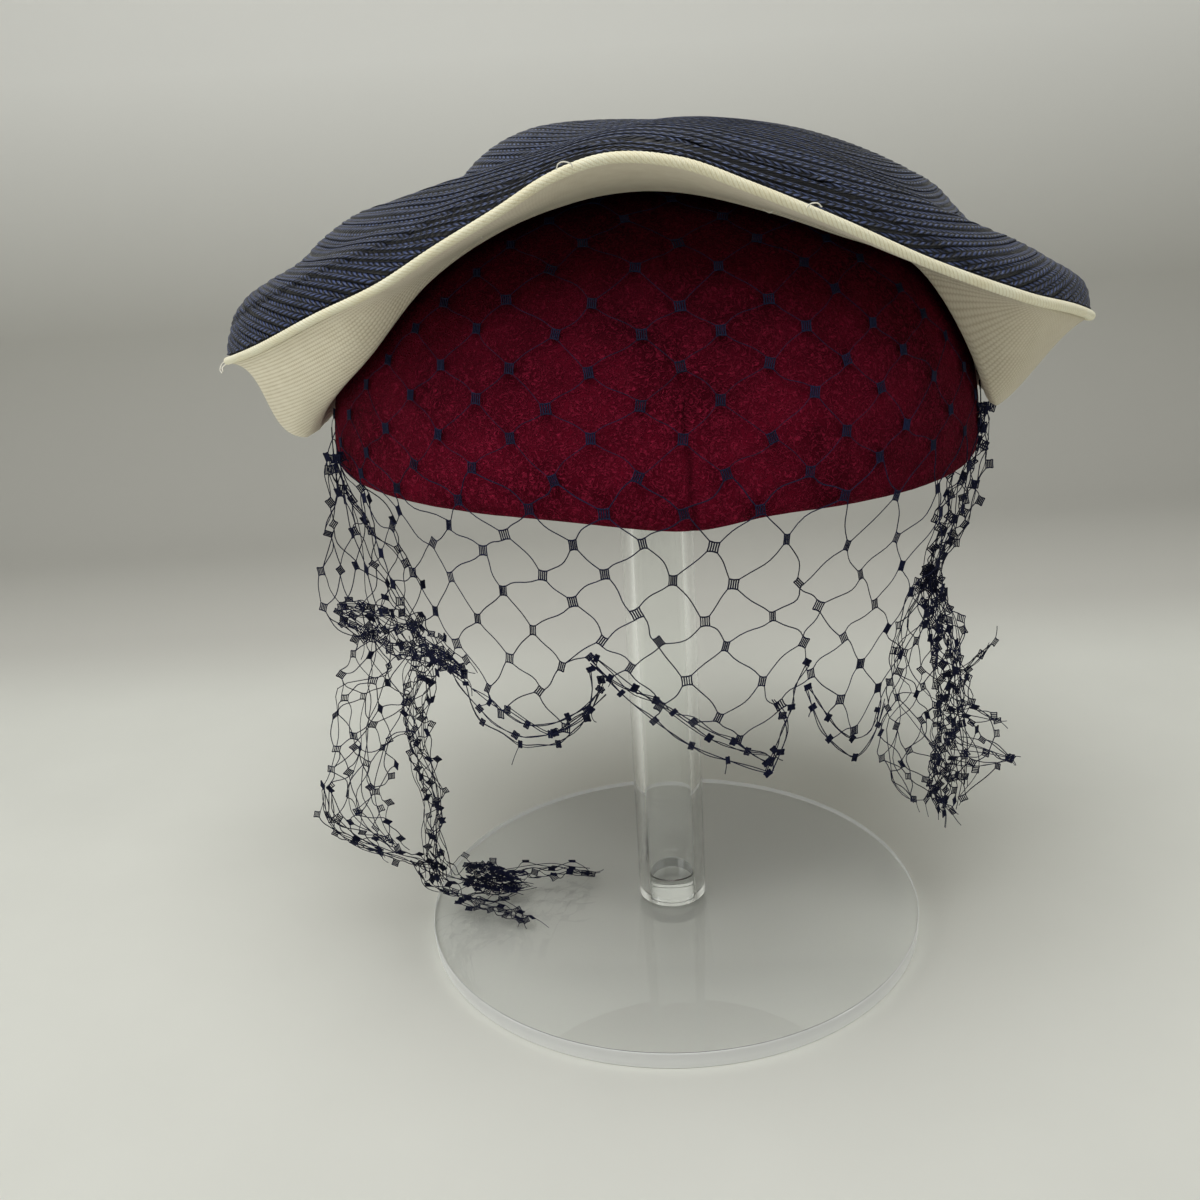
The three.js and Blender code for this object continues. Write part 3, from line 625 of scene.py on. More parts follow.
def polished_edge():
    """The sawn and polished rim of cast acrylic, milky, with a faint painted glow from emission that
    stands in for the light gathered inside the sheet, and saw marks about 2 mm apart showing faintly."""
    material, tree = new_material("cast_acrylic_edge")
    place = node(tree, "ShaderNodeTexCoord").outputs["Object"]
    sawn = node(tree, "ShaderNodeTexNoise", {"Vector": place, "Scale": 1 / (2 * MM), "Detail": 2.0})
    dull = node(tree, "ShaderNodeMapRange", {0: sawn, 1: 0.35, 2: 0.7, 3: 0.03, 4: 0.12})
    finish = {
        "Base Color": linear("#fbfcfa"), "Roughness": dull, "IOR": 1.49, "Transmission Weight": 0.4,
        # Painted glow: the emission makes the rim shine faintly though it is no lamp.
        "Emission Color": linear("#eef0ea"), "Emission Strength": 0.12,
    }
    shader = node(tree, "ShaderNodeBsdfPrincipled", finish)
    node(tree, "ShaderNodeOutputMaterial", {"Surface": shader})
    return material


def crushed_velour():
    """Knitted polyester velour: short pile, dark where it leans away, crushed into worm-like ripples about
    1 mm wide whose crests are painted lighter as highlights, and pulled in along the front seam. Painted
    shade darkens it towards the top under the brim, towards the right and along the seam."""
    material, tree = new_material("polyester_velour_crushed")
    place = node(tree, "ShaderNodeTexCoord").outputs["Object"]
    ripple = {"Vector": place, "Scale": 1 / (2.0 * MM), "Detail": 3.0, "Roughness": 0.6, "Distortion": 1.4}
    ripple = node(tree, "ShaderNodeTexNoise", ripple)
    lay = node(tree, "ShaderNodeTexNoise", {"Vector": place, "Scale": 1 / (13 * MM), "Detail": 3.0})
    fibre = node(tree, "ShaderNodeTexNoise", {"Vector": place, "Scale": 1 / (0.45 * MM), "Detail": 2.0})
    off = node(tree, "ShaderNodeMath", {0: ripple, 1: 0.5}, operation="SUBTRACT")
    off = node(tree, "ShaderNodeMath", {0: off}, operation="ABSOLUTE")
    worm = node(tree, "ShaderNodeMapRange", {0: off, 1: 0.085, 2: 0.0})
    sparse = node(tree, "ShaderNodeMapRange", {0: fibre, 1: 0.35, 2: 0.7, 3: 0.35, 4: 1.0})
    # Painted highlight: the ripples' crests are painted a lighter red.
    painted_crest_highlight = node(tree, "ShaderNodeMath", {0: worm, 1: sparse}, operation="MULTIPLY")
    lean = node(tree, "ShaderNodeMapRange", {0: lay, 1: 0.35, 2: 0.65})
    pile = {0: lean, 6: linear("#460515"), 7: linear("#6b0d24")}
    pile = node(tree, "ShaderNodeMix", pile, data_type="RGBA").outputs[2]
    pile = {0: painted_crest_highlight, 6: pile, 7: linear("#b82b4c")}
    pile = node(tree, "ShaderNodeMix", pile, data_type="RGBA").outputs[2]
    axes = node(tree, "ShaderNodeSeparateXYZ", {0: place}).outputs
    # Painted shade: the pile darkens towards the top of the dome, under the brim.
    painted_shade = {0: axes[2], 1: 164 * MM, 2: 222 * MM, 3: 0.0, 4: 0.85}
    painted_shade = node(tree, "ShaderNodeMapRange", painted_shade)
    # Painted shade: it also darkens towards the right side of the dome.
    leaning = node(tree, "ShaderNodeMapRange", {0: axes[0], 1: 5 * MM, 2: 55 * MM, 3: 0.05, 4: 0.38})
    painted_shade = node(tree, "ShaderNodeMath", {0: painted_shade, 1: leaning}, operation="MAXIMUM")
    # Painted shade along the pulled-in front seam.
    seam = node(tree, "ShaderNodeAttribute", attribute_name="seam").outputs["Fac"]
    seam = node(tree, "ShaderNodeMath", {0: seam, 1: 0.6}, operation="MULTIPLY")
    dark = node(tree, "ShaderNodeMath", {0: painted_shade, 1: seam}, operation="MAXIMUM")
    # The painted shade mixes the pile towards near black.
    pile = {0: dark, 6: pile, 7: linear("#160106")}
    pile = node(tree, "ShaderNodeMix", pile, data_type="RGBA").outputs[2]
    nap = node(tree, "ShaderNodeMath", {0: fibre, 1: 0.4, 2: worm}, operation="MULTIPLY_ADD")
    bump = node(tree, "ShaderNodeBump", {"Strength": 1.0, "Distance": 0.8 * MM, "Height": nap})
    finish = {
        "Base Color": pile, "Roughness": 0.85, "Specular IOR Level": 0.03, "Sheen Weight": 0.04,
        "Sheen Roughness": 0.4, "Sheen Tint": linear("#c03050"), "Normal": bump,
    }
    shader = node(tree, "ShaderNodeBsdfPrincipled", finish)
    node(tree, "ShaderNodeOutputMaterial", {"Surface": shader})
    return material


def dyed_straw(settings):
    """Dyed straw braid: two ribs of slanting straws a row, glossy on their backs, with painted shade that
    blackens the gaps between straws and rows and the groove, painted light that pales it on top of the
    hat, and pale painted glints on the lit backs. The UV map holds millimetres along a row, and rows
    across it."""
    material, tree = new_material("straw_braid_dyed")
    uv = node(tree, "ShaderNodeSeparateXYZ", {0: node(tree, "ShaderNodeUVMap", uv_map="UVMap")}).outputs
    place = node(tree, "ShaderNodeTexCoord").outputs["Object"]
    across = node(tree, "ShaderNodeMath", {0: uv[1]}, operation="FRACT")
    aside = node(tree, "ShaderNodeMath", {0: across, 1: 0.5}, operation="SUBTRACT")
    aside = node(tree, "ShaderNodeMath", {0: aside}, operation="ABSOLUTE")
    walk = node(tree, "ShaderNodeMath", {0: uv[0], 1: settings.stitch / MM}, operation="DIVIDE")
    slant = node(tree, "ShaderNodeMath", {0: aside, 1: 2.0, 2: walk}, operation="MULTIPLY_ADD")
    ribs = node(tree, "ShaderNodeMath", {0: across, 1: 2.0}, operation="MULTIPLY")
    rib = node(tree, "ShaderNodeMath", {0: ridges(tree, ribs), 1: 0.6}, operation="POWER")
    straw = node(tree, "ShaderNodeMath", {0: ridges(tree, slant), 1: rib}, operation="MULTIPLY")
    # Painted shade: the gaps between rows are darkened, except on the crown.
    sewn = node(tree, "ShaderNodeMapRange", {0: aside, 1: 0.49, 2: 0.37, 3: 0.1})
    crown = node(tree, "ShaderNodeAttribute", attribute_name="crown").outputs["Fac"]
    sewn = node(tree, "ShaderNodeMath", {0: sewn, 1: crown}, operation="MAXIMUM")
    back = node(tree, "ShaderNodeMath", {0: straw, 1: sewn}, operation="MULTIPLY")
    dye = node(tree, "ShaderNodeTexNoise", {"Vector": place, "Scale": 1 / (3.5 * MM), "Detail": 4.0})
    dye = node(tree, "ShaderNodeMapRange", {0: dye, 1: 0.35, 2: 0.65, 3: 0.45, 4: 1.0})
    # Painted shade: where the straws and rows dip, the colour goes towards near black.
    lit = node(tree, "ShaderNodeMapRange", {0: back, 1: 0.28, 2: 0.88})
    lit = node(tree, "ShaderNodeMath", {0: lit, 1: dye}, operation="MULTIPLY")
    # Painted shade in the groove between the crown and the front brim.
    groove = node(tree, "ShaderNodeAttribute", attribute_name="groove").outputs["Fac"]
    groove_shading = node(tree, "ShaderNodeMapRange", {0: groove, 3: 1.0, 4: 0.05})
    lit = node(tree, "ShaderNodeMath", {0: lit, 1: groove_shading}, operation="MULTIPLY")
    # Painted light: the straw is made paler towards the top of the hat.
    height = node(tree, "ShaderNodeSeparateXYZ", {0: place}).outputs[2]
    painted_top_light = node(tree, "ShaderNodeMapRange", {0: height, 1: 208 * MM, 2: 236 * MM, 3: 0.0, 4: 0.3})
    straws = {0: painted_top_light, 6: linear(settings.straw_colour), 7: linear("#8f9dc0")}
    straws = node(tree, "ShaderNodeMix", straws, data_type="RGBA").outputs[2]
    colour = {0: lit, 6: linear("#04050a"), 7: straws}
    colour = node(tree, "ShaderNodeMix", colour, data_type="RGBA").outputs[2]
    # Painted glints: pale blue-grey specks on the straws' lit backs.
    grain = node(tree, "ShaderNodeTexNoise", {"Vector": place, "Scale": 1 / (0.7 * MM), "Detail": 2.0})
    painted_lighting = node(tree, "ShaderNodeMapRange", {0: grain, 1: 0.58, 2: 0.72, 3: 0.0, 4: 0.6})
    painted_lighting = node(tree, "ShaderNodeMath", {0: painted_lighting, 1: lit}, operation="MULTIPLY")
    colour = {0: painted_lighting, 6: colour, 7: linear("#98a3bf")}
    colour = node(tree, "ShaderNodeMix", colour, data_type="RGBA").outputs[2]
    gloss = node(tree, "ShaderNodeMapRange", {0: grain, 1: 0.3, 2: 0.7, 3: 0.32, 4: 0.55})
    bump = node(tree, "ShaderNodeBump", {"Strength": 1.0, "Distance": 0.6 * MM, "Height": back})
    finish = {"Base Color": colour, "Roughness": gloss, "Specular IOR Level": 0.4, "Normal": bump}
    shader = node(tree, "ShaderNodeBsdfPrincipled", finish)
    node(tree, "ShaderNodeOutputMaterial", {"Surface": shader})
    return material


def plain_cotton():
    """Bleached cotton rib weave, pulled over the brim: its ribs lie along the left wing and run down the
    right one, 1 mm apart with knops 0.8 or 0.9 mm apart along them, and are pulled smooth over the front.
    It is darkened towards the right wing with painted shade. The UV map holds millimetres along the edge
    and away from it."""
    material, tree = new_material("cotton_rib_woven")
    uv = node(tree, "ShaderNodeSeparateXYZ", {0: node(tree, "ShaderNodeUVMap", uv_map="UVMap")}).outputs
    place = node(tree, "ShaderNodeTexCoord").outputs["Object"]
    side = node(tree, "ShaderNodeSeparateXYZ", {0: place}).outputs[0]
    right = node(tree, "ShaderNodeMath", {0: side, 1: 0.0}, operation="GREATER_THAN")
    warp = node(tree, "ShaderNodeMix", {0: right, 2: uv[1], 3: uv[0]})
    left_knop = node(tree, "ShaderNodeMath", {0: uv[0], 1: 1 / 0.9}, operation="MULTIPLY")
    right_knop = node(tree, "ShaderNodeMath", {0: uv[1], 1: 1 / 0.8}, operation="MULTIPLY")
    weft = node(tree, "ShaderNodeMix", {0: right, 2: left_knop, 3: right_knop})
    count = node(tree, "ShaderNodeMath", {0: warp}, operation="FLOOR")
    staggered = node(tree, "ShaderNodeMath", {0: count, 1: 0.5, 2: weft}, operation="MULTIPLY_ADD")
    weave = node(tree, "ShaderNodeMix", {0: 0.4, 2: ridges(tree, warp), 3: ridges(tree, staggered)})
    far = node(tree, "ShaderNodeMath", {0: side}, operation="ABSOLUTE")
    pulled = node(tree, "ShaderNodeMapRange", {0: far, 1: 12 * MM, 2: 45 * MM})
    slub = node(tree, "ShaderNodeTexNoise", {"Vector": place, "Scale": 1 / (3.5 * MM), "Detail": 3.0})
    weave = node(tree, "ShaderNodeMix", {0: pulled, 2: 0.6, 3: weave})
    # Painted shade in the grooves of the ribs and knops, mixed with slub that varies at random.
    tone = node(tree, "ShaderNodeMix", {0: 0.3, 2: weave, 3: slub})
    shade = node(tree, "ShaderNodeMapRange", {0: tone, 1: 0.1, 2: 0.75})
    colour = {0: shade, 6: linear("#cbbc99"), 7: linear("#fbf3dc")}
    colour = node(tree, "ShaderNodeMix", colour, data_type="RGBA").outputs[2]
    # Painted shade: the cloth darkens towards the right wing.
    painted_lighting = node(tree, "ShaderNodeMapRange", {0: side, 1: 45 * MM, 2: 85 * MM, 3: 0.0, 4: 0.45})
    colour = {0: painted_lighting, 6: colour, 7: linear("#9c917d")}
    colour = node(tree, "ShaderNodeMix", colour, data_type="RGBA").outputs[2]
    bump = node(tree, "ShaderNodeBump", {"Strength": 0.7, "Distance": 0.2 * MM, "Height": weave})
    finish = {"Base Color": colour, "Roughness": 0.88, "Sheen Weight": 0.1, "Normal": bump}
    shader = node(tree, "ShaderNodeBsdfPrincipled", finish)
    node(tree, "ShaderNodeOutputMaterial", {"Surface": shader})
    return material


def twisted_cord():
    """Cream cotton cord sewn round the edge: its strands turn round it, pale on their backs with painted
    shade in the grooves between, a little soiled at random, with yarns 0.45 mm apart. The UV map holds
    millimetres along it, and strands across."""
    material, tree = new_material("cotton_cord_twisted")
    uv = node(tree, "ShaderNodeSeparateXYZ", {0: node(tree, "ShaderNodeUVMap", uv_map="UVMap")}).outputs
    place = node(tree, "ShaderNodeTexCoord").outputs["Object"]
    strand = ridges(tree, uv[1])
    yarn = node(tree, "ShaderNodeMath", {0: uv[0], 1: 2 * math.pi / 0.45}, operation="MULTIPLY")
    yarn = node(tree, "ShaderNodeMath", {0: yarn}, operation="SINE")
    soil = node(tree, "ShaderNodeTexNoise", {"Vector": place, "Scale": 1 / (9 * MM), "Detail": 4.0})
    soil = node(tree, "ShaderNodeMapRange", {0: soil, 1: 0.35, 2: 0.75})
    clean = {0: soil, 6: linear("#fffbe0"), 7: linear("#fbf2cf")}
    clean = node(tree, "ShaderNodeMix", clean, data_type="RGBA").outputs[2]
    # Painted shade in the grooves between the strands.
    shade = node(tree, "ShaderNodeMapRange", {0: strand, 1: 0.0, 2: 0.5, 3: 0.45, 4: 1.0})
    colour = {0: shade, 6: linear("#d2c08a"), 7: clean}
    colour = node(tree, "ShaderNodeMix", colour, data_type="RGBA").outputs[2]
    bump = node(tree, "ShaderNodeBump", {"Strength": 0.5, "Distance": 0.06 * MM, "Height": yarn})
    finish = {"Base Color": colour, "Roughness": 0.82, "Sheen Weight": 0.2, "Normal": bump}
    shader = node(tree, "ShaderNodeBsdfPrincipled", finish)
    node(tree, "ShaderNodeOutputMaterial", {"Surface": shader})
    return material


def spun_thread(name, dark, pale):
    """Spun thread, matt and a little hairy, with twist marks 0.4 mm apart and slow fading of its dye."""
    material, tree = new_material(name)
    place = node(tree, "ShaderNodeTexCoord").outputs["Object"]
    twist = node(tree, "ShaderNodeTexNoise", {"Vector": place, "Scale": 1 / (0.4 * MM), "Detail": 2.0})
    fade = node(tree, "ShaderNodeTexNoise", {"Vector": place, "Scale": 1 / (20 * MM), "Detail": 2.0})
    tone = node(tree, "ShaderNodeMix", {0: 0.4, 2: twist, 3: fade})
    tone = node(tree, "ShaderNodeMapRange", {0: tone, 1: 0.3, 2: 0.7})
    colour = {0: tone, 6: linear(dark), 7: linear(pale)}
    colour = node(tree, "ShaderNodeMix", colour, data_type="RGBA").outputs[2]
    bump = node(tree, "ShaderNodeBump", {"Strength": 0.6, "Distance": 0.08 * MM, "Height": twist})
    finish = {"Base Color": colour, "Roughness": 0.78, "Specular IOR Level": 0.2, "Normal": bump}
    shader = node(tree, "ShaderNodeBsdfPrincipled", finish)
    node(tree, "ShaderNodeOutputMaterial", {"Surface": shader})
    return material


def paper_sweep():
    """Pale matt paper under and behind the stand, with painted shade that darkens it away from the stand
    and painted light that makes it paler up the wall, and a faint mottle about 60 mm across."""
    material, tree = new_material("paper_sweep_matt")
    place = node(tree, "ShaderNodeTexCoord").outputs["Object"]
    mottle = node(tree, "ShaderNodeTexNoise", {"Vector": place, "Scale": 1 / (60 * MM), "Detail": 4.0})
    axes = node(tree, "ShaderNodeSeparateXYZ", {0: place}).outputs
    floor = {0: mottle, 6: linear("#dcddd5"), 7: linear("#e4e5dd")}
    floor = node(tree, "ShaderNodeMix", floor, data_type="RGBA").outputs[2]
    # Painted shade: the floor darkens away from the stand, where the light falls off.
    off = {0: axes[1], 1: 175 * MM, 2: 310 * MM}
    off = node(tree, "ShaderNodeMapRange", off, interpolation_type="SMOOTHSTEP")
    floor = {0: off, 6: floor, 7: linear("#cac9c2")}
    floor = node(tree, "ShaderNodeMix", floor, data_type="RGBA").outputs[2]
    far = node(tree, "ShaderNodeMapRange", {0: axes[1], 1: 310 * MM, 2: 500 * MM})
    low = {0: far, 6: floor, 7: linear("#b6b5ae")}
    low = node(tree, "ShaderNodeMix", low, data_type="RGBA").outputs[2]
    # Painted light: the wall grows paler towards the top.
    high = node(tree, "ShaderNodeMapRange", {0: axes[2], 1: 150 * MM, 2: 340 * MM})
    wall = {0: high, 6: low, 7: linear("#e4e4df")}
    wall = node(tree, "ShaderNodeMix", wall, data_type="RGBA").outputs[2]
    shader = node(tree, "ShaderNodeBsdfPrincipled", {"Base Color": wall, "Roughness": 0.85})
    node(tree, "ShaderNodeOutputMaterial", {"Surface": shader})
    return material


# ---- Threads ---------------------------------------------------------------------------------------
def thread_tree(material):
    """Geometry Nodes: turns chains of edges into round threads, as thick as each place says."""
    tree = bpy.data.node_groups.new("Threads from lines", "GeometryNodeTree")
    tree.interface.new_socket("Geometry", in_out="INPUT", socket_type="NodeSocketGeometry")
    sides = tree.interface.new_socket("Sides", in_out="INPUT", socket_type="NodeSocketInt")
    tree.interface.new_socket("Geometry", in_out="OUTPUT", socket_type="NodeSocketGeometry")
    given = node(tree, "NodeGroupInput")
    curve = node(tree, "GeometryNodeMeshToCurve", {"Mesh": given.outputs[0]})
    profile = {"Radius": 1.0, "Resolution": given.outputs[1]}
    circle = node(tree, "GeometryNodeCurvePrimitiveCircle", profile)
    thickness = node(tree, "GeometryNodeInputNamedAttribute", {"Name": "thread_radius"}, data_type="FLOAT")
    tube_inputs = {
        "Curve": curve.outputs[0], "Profile Curve": circle.outputs[0],
        "Scale": thickness.outputs[0], "Fill Caps": True,
    }
    tube = node(tree, "GeometryNodeCurveToMesh", tube_inputs)
    soft = node(tree, "GeometryNodeSetShadeSmooth", {0: tube.outputs[0]})
    real = node(tree, "GeometryNodeRealizeInstances", {0: soft.outputs[0]})
    painted = node(tree, "GeometryNodeSetMaterial", {"Geometry": real.outputs[0], "Material": material})
    node(tree, "NodeGroupOutput", {0: painted.outputs[0]})
    return tree, sides.identifier


def threads(name, strokes, material, sides=4):
    """One plain mesh of round threads along strokes, which are places in millimetres and a radius."""
    vertices = np.concatenate([places for places, _ in strokes])
    radii = np.concatenate([np.full(len(places), radius) for places, radius in strokes])
    edges = []
    start = 0
    for places, _ in strokes:
        edges += [(k, k + 1) for k in range(start, start + len(places) - 1)]
        start += len(places)
    lines = bpy.data.meshes.new(name + "_lines")
    lines.from_pydata((vertices * MM).tolist(), edges, [])
    lines.attributes.new("thread_radius", "FLOAT", "POINT").data.foreach_set("value", radii * MM)
    guide = bpy.data.objects.new(name + "_lines", lines)
    bpy.context.scene.collection.objects.link(guide)
    tree, sides_socket = thread_tree(material)
    modifier = guide.modifiers.new("Threads", "NODES")
    modifier.node_group = tree
    modifier[sides_socket] = sides
    depsgraph = bpy.context.evaluated_depsgraph_get()
    mesh = bpy.data.meshes.new_from_object(guide.evaluated_get(depsgraph))
    mesh.name = name
    bpy.data.objects.remove(guide)
    obj = bpy.data.objects.new(name, mesh)
    bpy.context.scene.collection.objects.link(obj)
    return obj


class Net:
    """Knotted net: woven square knots, and slack threads from corner to corner between them."""

    # Shares: what a knot keeps of its width and of its height at its waist, and how far a thread bows.
    WAIST = 0.92
    PINCH = 0.86
    BOW = 0.2

    def __init__(self, settings, rng):
        self.size = settings.knot_size / MM / 2
        self.bar = settings.bar_radius / MM
        self.thread = settings.thread_radius / MM
        self.rng = rng
        self.knots = {}
        self.strokes = []

    def tie(self, key, middle, across, down, spin, narrow, drawn=1.0):
        """Ties a knot at a place: across and down are the net's directions there. Spin is how far it may
        turn, narrow its width as it is turned away, and drawn its size where the net is pulled tight."""
        turn = self.rng.normal(0, spin)
        wide = across * math.cos(turn) + down * math.sin(turn)
        tall = down * math.cos(turn) - across * math.sin(turn)
        wide, tall = wide * self.size * narrow * drawn, tall * self.size * drawn
        self.knots[key] = (middle, wide, tall)
        bars = 5 if narrow > 0.7 else 4
        for side in np.linspace(-1, 1, bars):
            waist = middle + wide * side * self.WAIST
            bar = np.stack([middle + wide * side - tall, waist, middle + wide * side + tall])
            self.strokes.append((bar, self.bar))
        for end in (-1, 1):
            waist = middle + tall * end * self.PINCH
            bar = np.stack([middle - wide + tall * end, waist, middle + wide + tall * end])
            self.strokes.append((bar, self.bar))

    @staticmethod
    def corner(knot, target):
        """The corner of a knot that looks towards a place."""
        middle, wide, tall = knot
        way = target - middle
        return middle + wide * np.sign(way @ wide) + tall * np.sign(way @ tall)

    def join(self, first, second, slack, sag=0.0, thickness=1.0):
        """A thread between two knots, if both are there: it leaves their corners and bows between."""
        if first not in self.knots or second not in self.knots:
            return
        one, two = self.knots[first], self.knots[second]
        start, end = self.corner(one, two[0]), self.corner(two, one[0])
        gap = np.linalg.norm(end - start)
        aside = (unit(one[1]) * self.rng.normal(0, slack) + unit(one[2]) * self.rng.normal(0, slack)) * gap
        aside = aside + np.array([0, 0, -sag * gap])
        leave = start * 0.7 + end * 0.3 + unit(start - one[0]) * gap * self.BOW + aside
        arrive = end * 0.7 + start * 0.3 + unit(end - two[0]) * gap * self.BOW + aside
        path = bend(start, leave, arrive, end, np.linspace(0, 1, 7)[:, None])
        self.strokes.append((path, self.thread * thickness))

    def run(self, places, thickness=1.0):
        """A long thread on a smooth curve through places."""
        places = np.array(places, float)
        at = np.arange(len(places))
        fine = np.linspace(0, len(places) - 1, 3 * len(places))
        smooth = [read_table({"at": at, "v": places[:, k]}, "at", "v", fine) for k in range(3)]
        self.strokes.append((np.stack(smooth, axis=-1), self.thread * thickness))

    def fray(self, key, way, length):
        """A cut end of thread that stands off a knot."""
        middle, wide, tall = self.knots[key]
        start = self.corner(self.knots[key], middle + way)
        curl = unit(wide) * self.rng.normal(0, 0.3) + unit(tall) * self.rng.normal(0, 0.3)
        s = np.linspace(0, 1, 5)[:, None]
        self.strokes.append((start + way * length * s + curl * length * s * s, self.thread * 0.8))

    def settle(self, floor):
        """Keeps every thread above a level surface."""
        for places, radius in self.strokes:
            places[:, 2] = np.maximum(places[:, 2], floor + radius)


# ---- Sizes and colours a user would change ---------------------------------------------------------
class FascinatorStraw(bpy.types.PropertyGroup):
    row_pitch: FloatProperty(
        name="Row pitch", description="Width of one sewn row of straw braid",
        default=2.8 * MM, min=2 * MM, max=8 * MM, unit="LENGTH",
    )
    stitch: FloatProperty(
        name="Plait pitch", description="Length of one slanting straw along a row",
        default=2.0 * MM, min=0.5 * MM, max=4 * MM, unit="LENGTH",
    )
    row_step: FloatProperty(
        name="Row step", description="How far a row's lower edge stands over the next",
        default=0.8 * MM, min=0.0, max=2 * MM, unit="LENGTH",
    )
    straw_colour: FloatVectorProperty(
        name="Straw colour", description="Colour of the straws' lit backs",
        subtype="COLOR_GAMMA", default=(0.29, 0.345, 0.53), min=0, max=1,
    )


class FascinatorNet(bpy.types.PropertyGroup):
    half_width: FloatProperty(
        name="Half cell width", description="Half the width of a net cell",
        default=9.6 * MM, min=4 * MM, max=20 * MM, unit="LENGTH",
    )
    half_height: FloatProperty(
        name="Half cell height", description="Half the height of a net cell",
        default=7.8 * MM, min=4 * MM, max=20 * MM, unit="LENGTH",
    )
    knot_size: FloatProperty(
        name="Knot size", description="Width of a woven knot",
        default=2.4 * MM, min=1 * MM, max=6 * MM, unit="LENGTH",
    )
    thread_radius: FloatProperty(
        name="Thread radius", description="Radius of the net's thread",
        default=0.145 * MM, min=0.05 * MM, max=0.6 * MM, unit="LENGTH",
    )
    bar_radius: FloatProperty(
        name="Knot thread radius", description="Radius of the threads of a knot",
        default=0.18 * MM, min=0.05 * MM, max=0.6 * MM, unit="LENGTH",
    )
    seed: IntProperty(name="Seed", description="Seed of the net's slack and folds", default=7, min=0)


class FascinatorStage(bpy.types.PropertyGroup):
    key_power: FloatProperty(
        name="Overhead light", description="Power of the soft light overhead",
        default=10.0, min=0, unit="POWER",
    )
    fill_power: FloatProperty(
        name="Side light", description="Power of the soft light low on the left",
        default=1.1, min=0, unit="POWER",
    )
    strip_power: FloatProperty(
        name="Strip lights", description="Power of each narrow light that draws a glint down the post",
        default=0.6, min=0, unit="POWER",
    )
    world_strength: FloatProperty(
        name="Room light", description="Strength of the even light of the room", default=0.08, min=0,
    )


# ---- Operators: one for each piece or group --------------------------------------------------------
class BuildStage(bpy.types.Operator):
    """Sets up the pale sweep, the soft lights and the camera"""

    bl_idname = "fascinator.stage"
    bl_label = "Stage, lights and camera"

    # Where the camera stands, in metres, how it looks down, is held askew and is turned, and its lens and
    # sensor, in millimetres.
    CAMERA_PLACE = (-0.0125, -0.3369, 0.2222)
    PITCH, ROLL, YAW = 18.58 * DEG, -3.52 * DEG, 1.01 * DEG
    LENS, SENSOR = 34.608, 36.0

    def execute(self, context):
        settings = context.scene.fascinator_stage
        scene = context.scene
        scene.view_settings.view_transform = "Standard"
        sweep = self.sweep()
        sweep.data.materials.append(paper_sweep())
        # Each light: its place, the place it shines at, its width and height, in metres, and its power.
        lights = (
            ("overhead", (-0.1, -0.34, 1.18), (0, 0, 0.1), (0.95, 0.95), settings.key_power),
            ("side", (-0.9, -0.7, 0.35), (0, 0, 0.15), (0.8, 0.8), settings.fill_power),
            ("left_strip", (-0.75, -0.25, 0.32), (0, 0, 0.1), (0.12, 0.46), settings.strip_power),
            ("right_strip", (0.8, -0.3, 0.32), (0, 0, 0.1), (0.12, 0.46), settings.strip_power),
        )
        for light in lights:
            self.light(*light)
        world = bpy.data.worlds.new("room")
        scene.world = world
        world.use_nodes = True
        background = world.node_tree.nodes["Background"]
        background.inputs["Color"].default_value = linear("#f4f3ee")
        background.inputs["Strength"].default_value = settings.world_strength
        self.camera(scene)
        return {"FINISHED"}

    @staticmethod
    def sweep():
        """A floor that curves up into walls behind the stand and, farther off, all round it."""
        curve, wall_top, below_base, squareness = 150.0, 2200.0, 0.05, 0.2
        middle = np.array([0.0, -540.0])
        reach = np.array([1500.0, 1160.0])
        rings = [(reach * share, 0.0) for share in (0.0002, 0.5, 0.75)]
        for tilt in range(0, 91, 5):
            inset = curve - curve * math.sin(tilt * DEG)
            rings.append((reach - inset, curve - curve * math.cos(tilt * DEG)))
        rings.append((reach, wall_top))
        turn = np.arange(0, 360, 2) * DEG
        square = np.stack([np.cos(turn), np.sin(turn)], axis=-1)
        square = np.sign(square) * np.abs(square) ** squareness
        points = np.zeros((len(rings), len(turn), 3))
        for number, (size, height) in enumerate(rings):
            points[number, :, :2] = middle + square * size
            points[number, :, 2] = height - below_base
        return mesh_object("floor_and_backdrop", *grid_mesh(points[:, ::-1]), closed=False)

    @staticmethod
    def light(name, place, target, size, power):
        """A soft elliptical light at a place, turned towards another."""
        lamp = bpy.data.lights.new(name, "AREA")
        lamp.shape = "ELLIPSE"
        lamp.size, lamp.size_y = size
        lamp.energy = power
        obj = bpy.data.objects.new(name, lamp)
        obj.location = place
        obj.rotation_euler = (Vector(target) - Vector(place)).to_track_quat("-Z", "Y").to_euler()
        bpy.context.scene.collection.objects.link(obj)

    def camera(self, scene):
        """The view from in front and above, turned a little and held slightly tilted."""
        turn = Matrix.Rotation(self.YAW, 3, "Z")
        forward = turn @ Vector((0, math.cos(self.PITCH), -math.sin(self.PITCH)))
        up = turn @ Vector((0, math.sin(self.PITCH), math.cos(self.PITCH)))
        right = turn @ Vector((1, 0, 0))
        side = math.cos(self.ROLL) * right + math.sin(self.ROLL) * up
        top = -math.sin(self.ROLL) * right + math.cos(self.ROLL) * up
        lens = bpy.data.cameras.new("camera")
        lens.lens = self.LENS
        lens.sensor_width = self.SENSOR
        lens.clip_start = 0.01
        obj = bpy.data.objects.new("camera", lens)
        axes = Matrix((side, top, -forward)).transposed().to_4x4()
        obj.matrix_world = Matrix.Translation(self.CAMERA_PLACE) @ axes
        scene.collection.objects.link(obj)
        scene.camera = obj


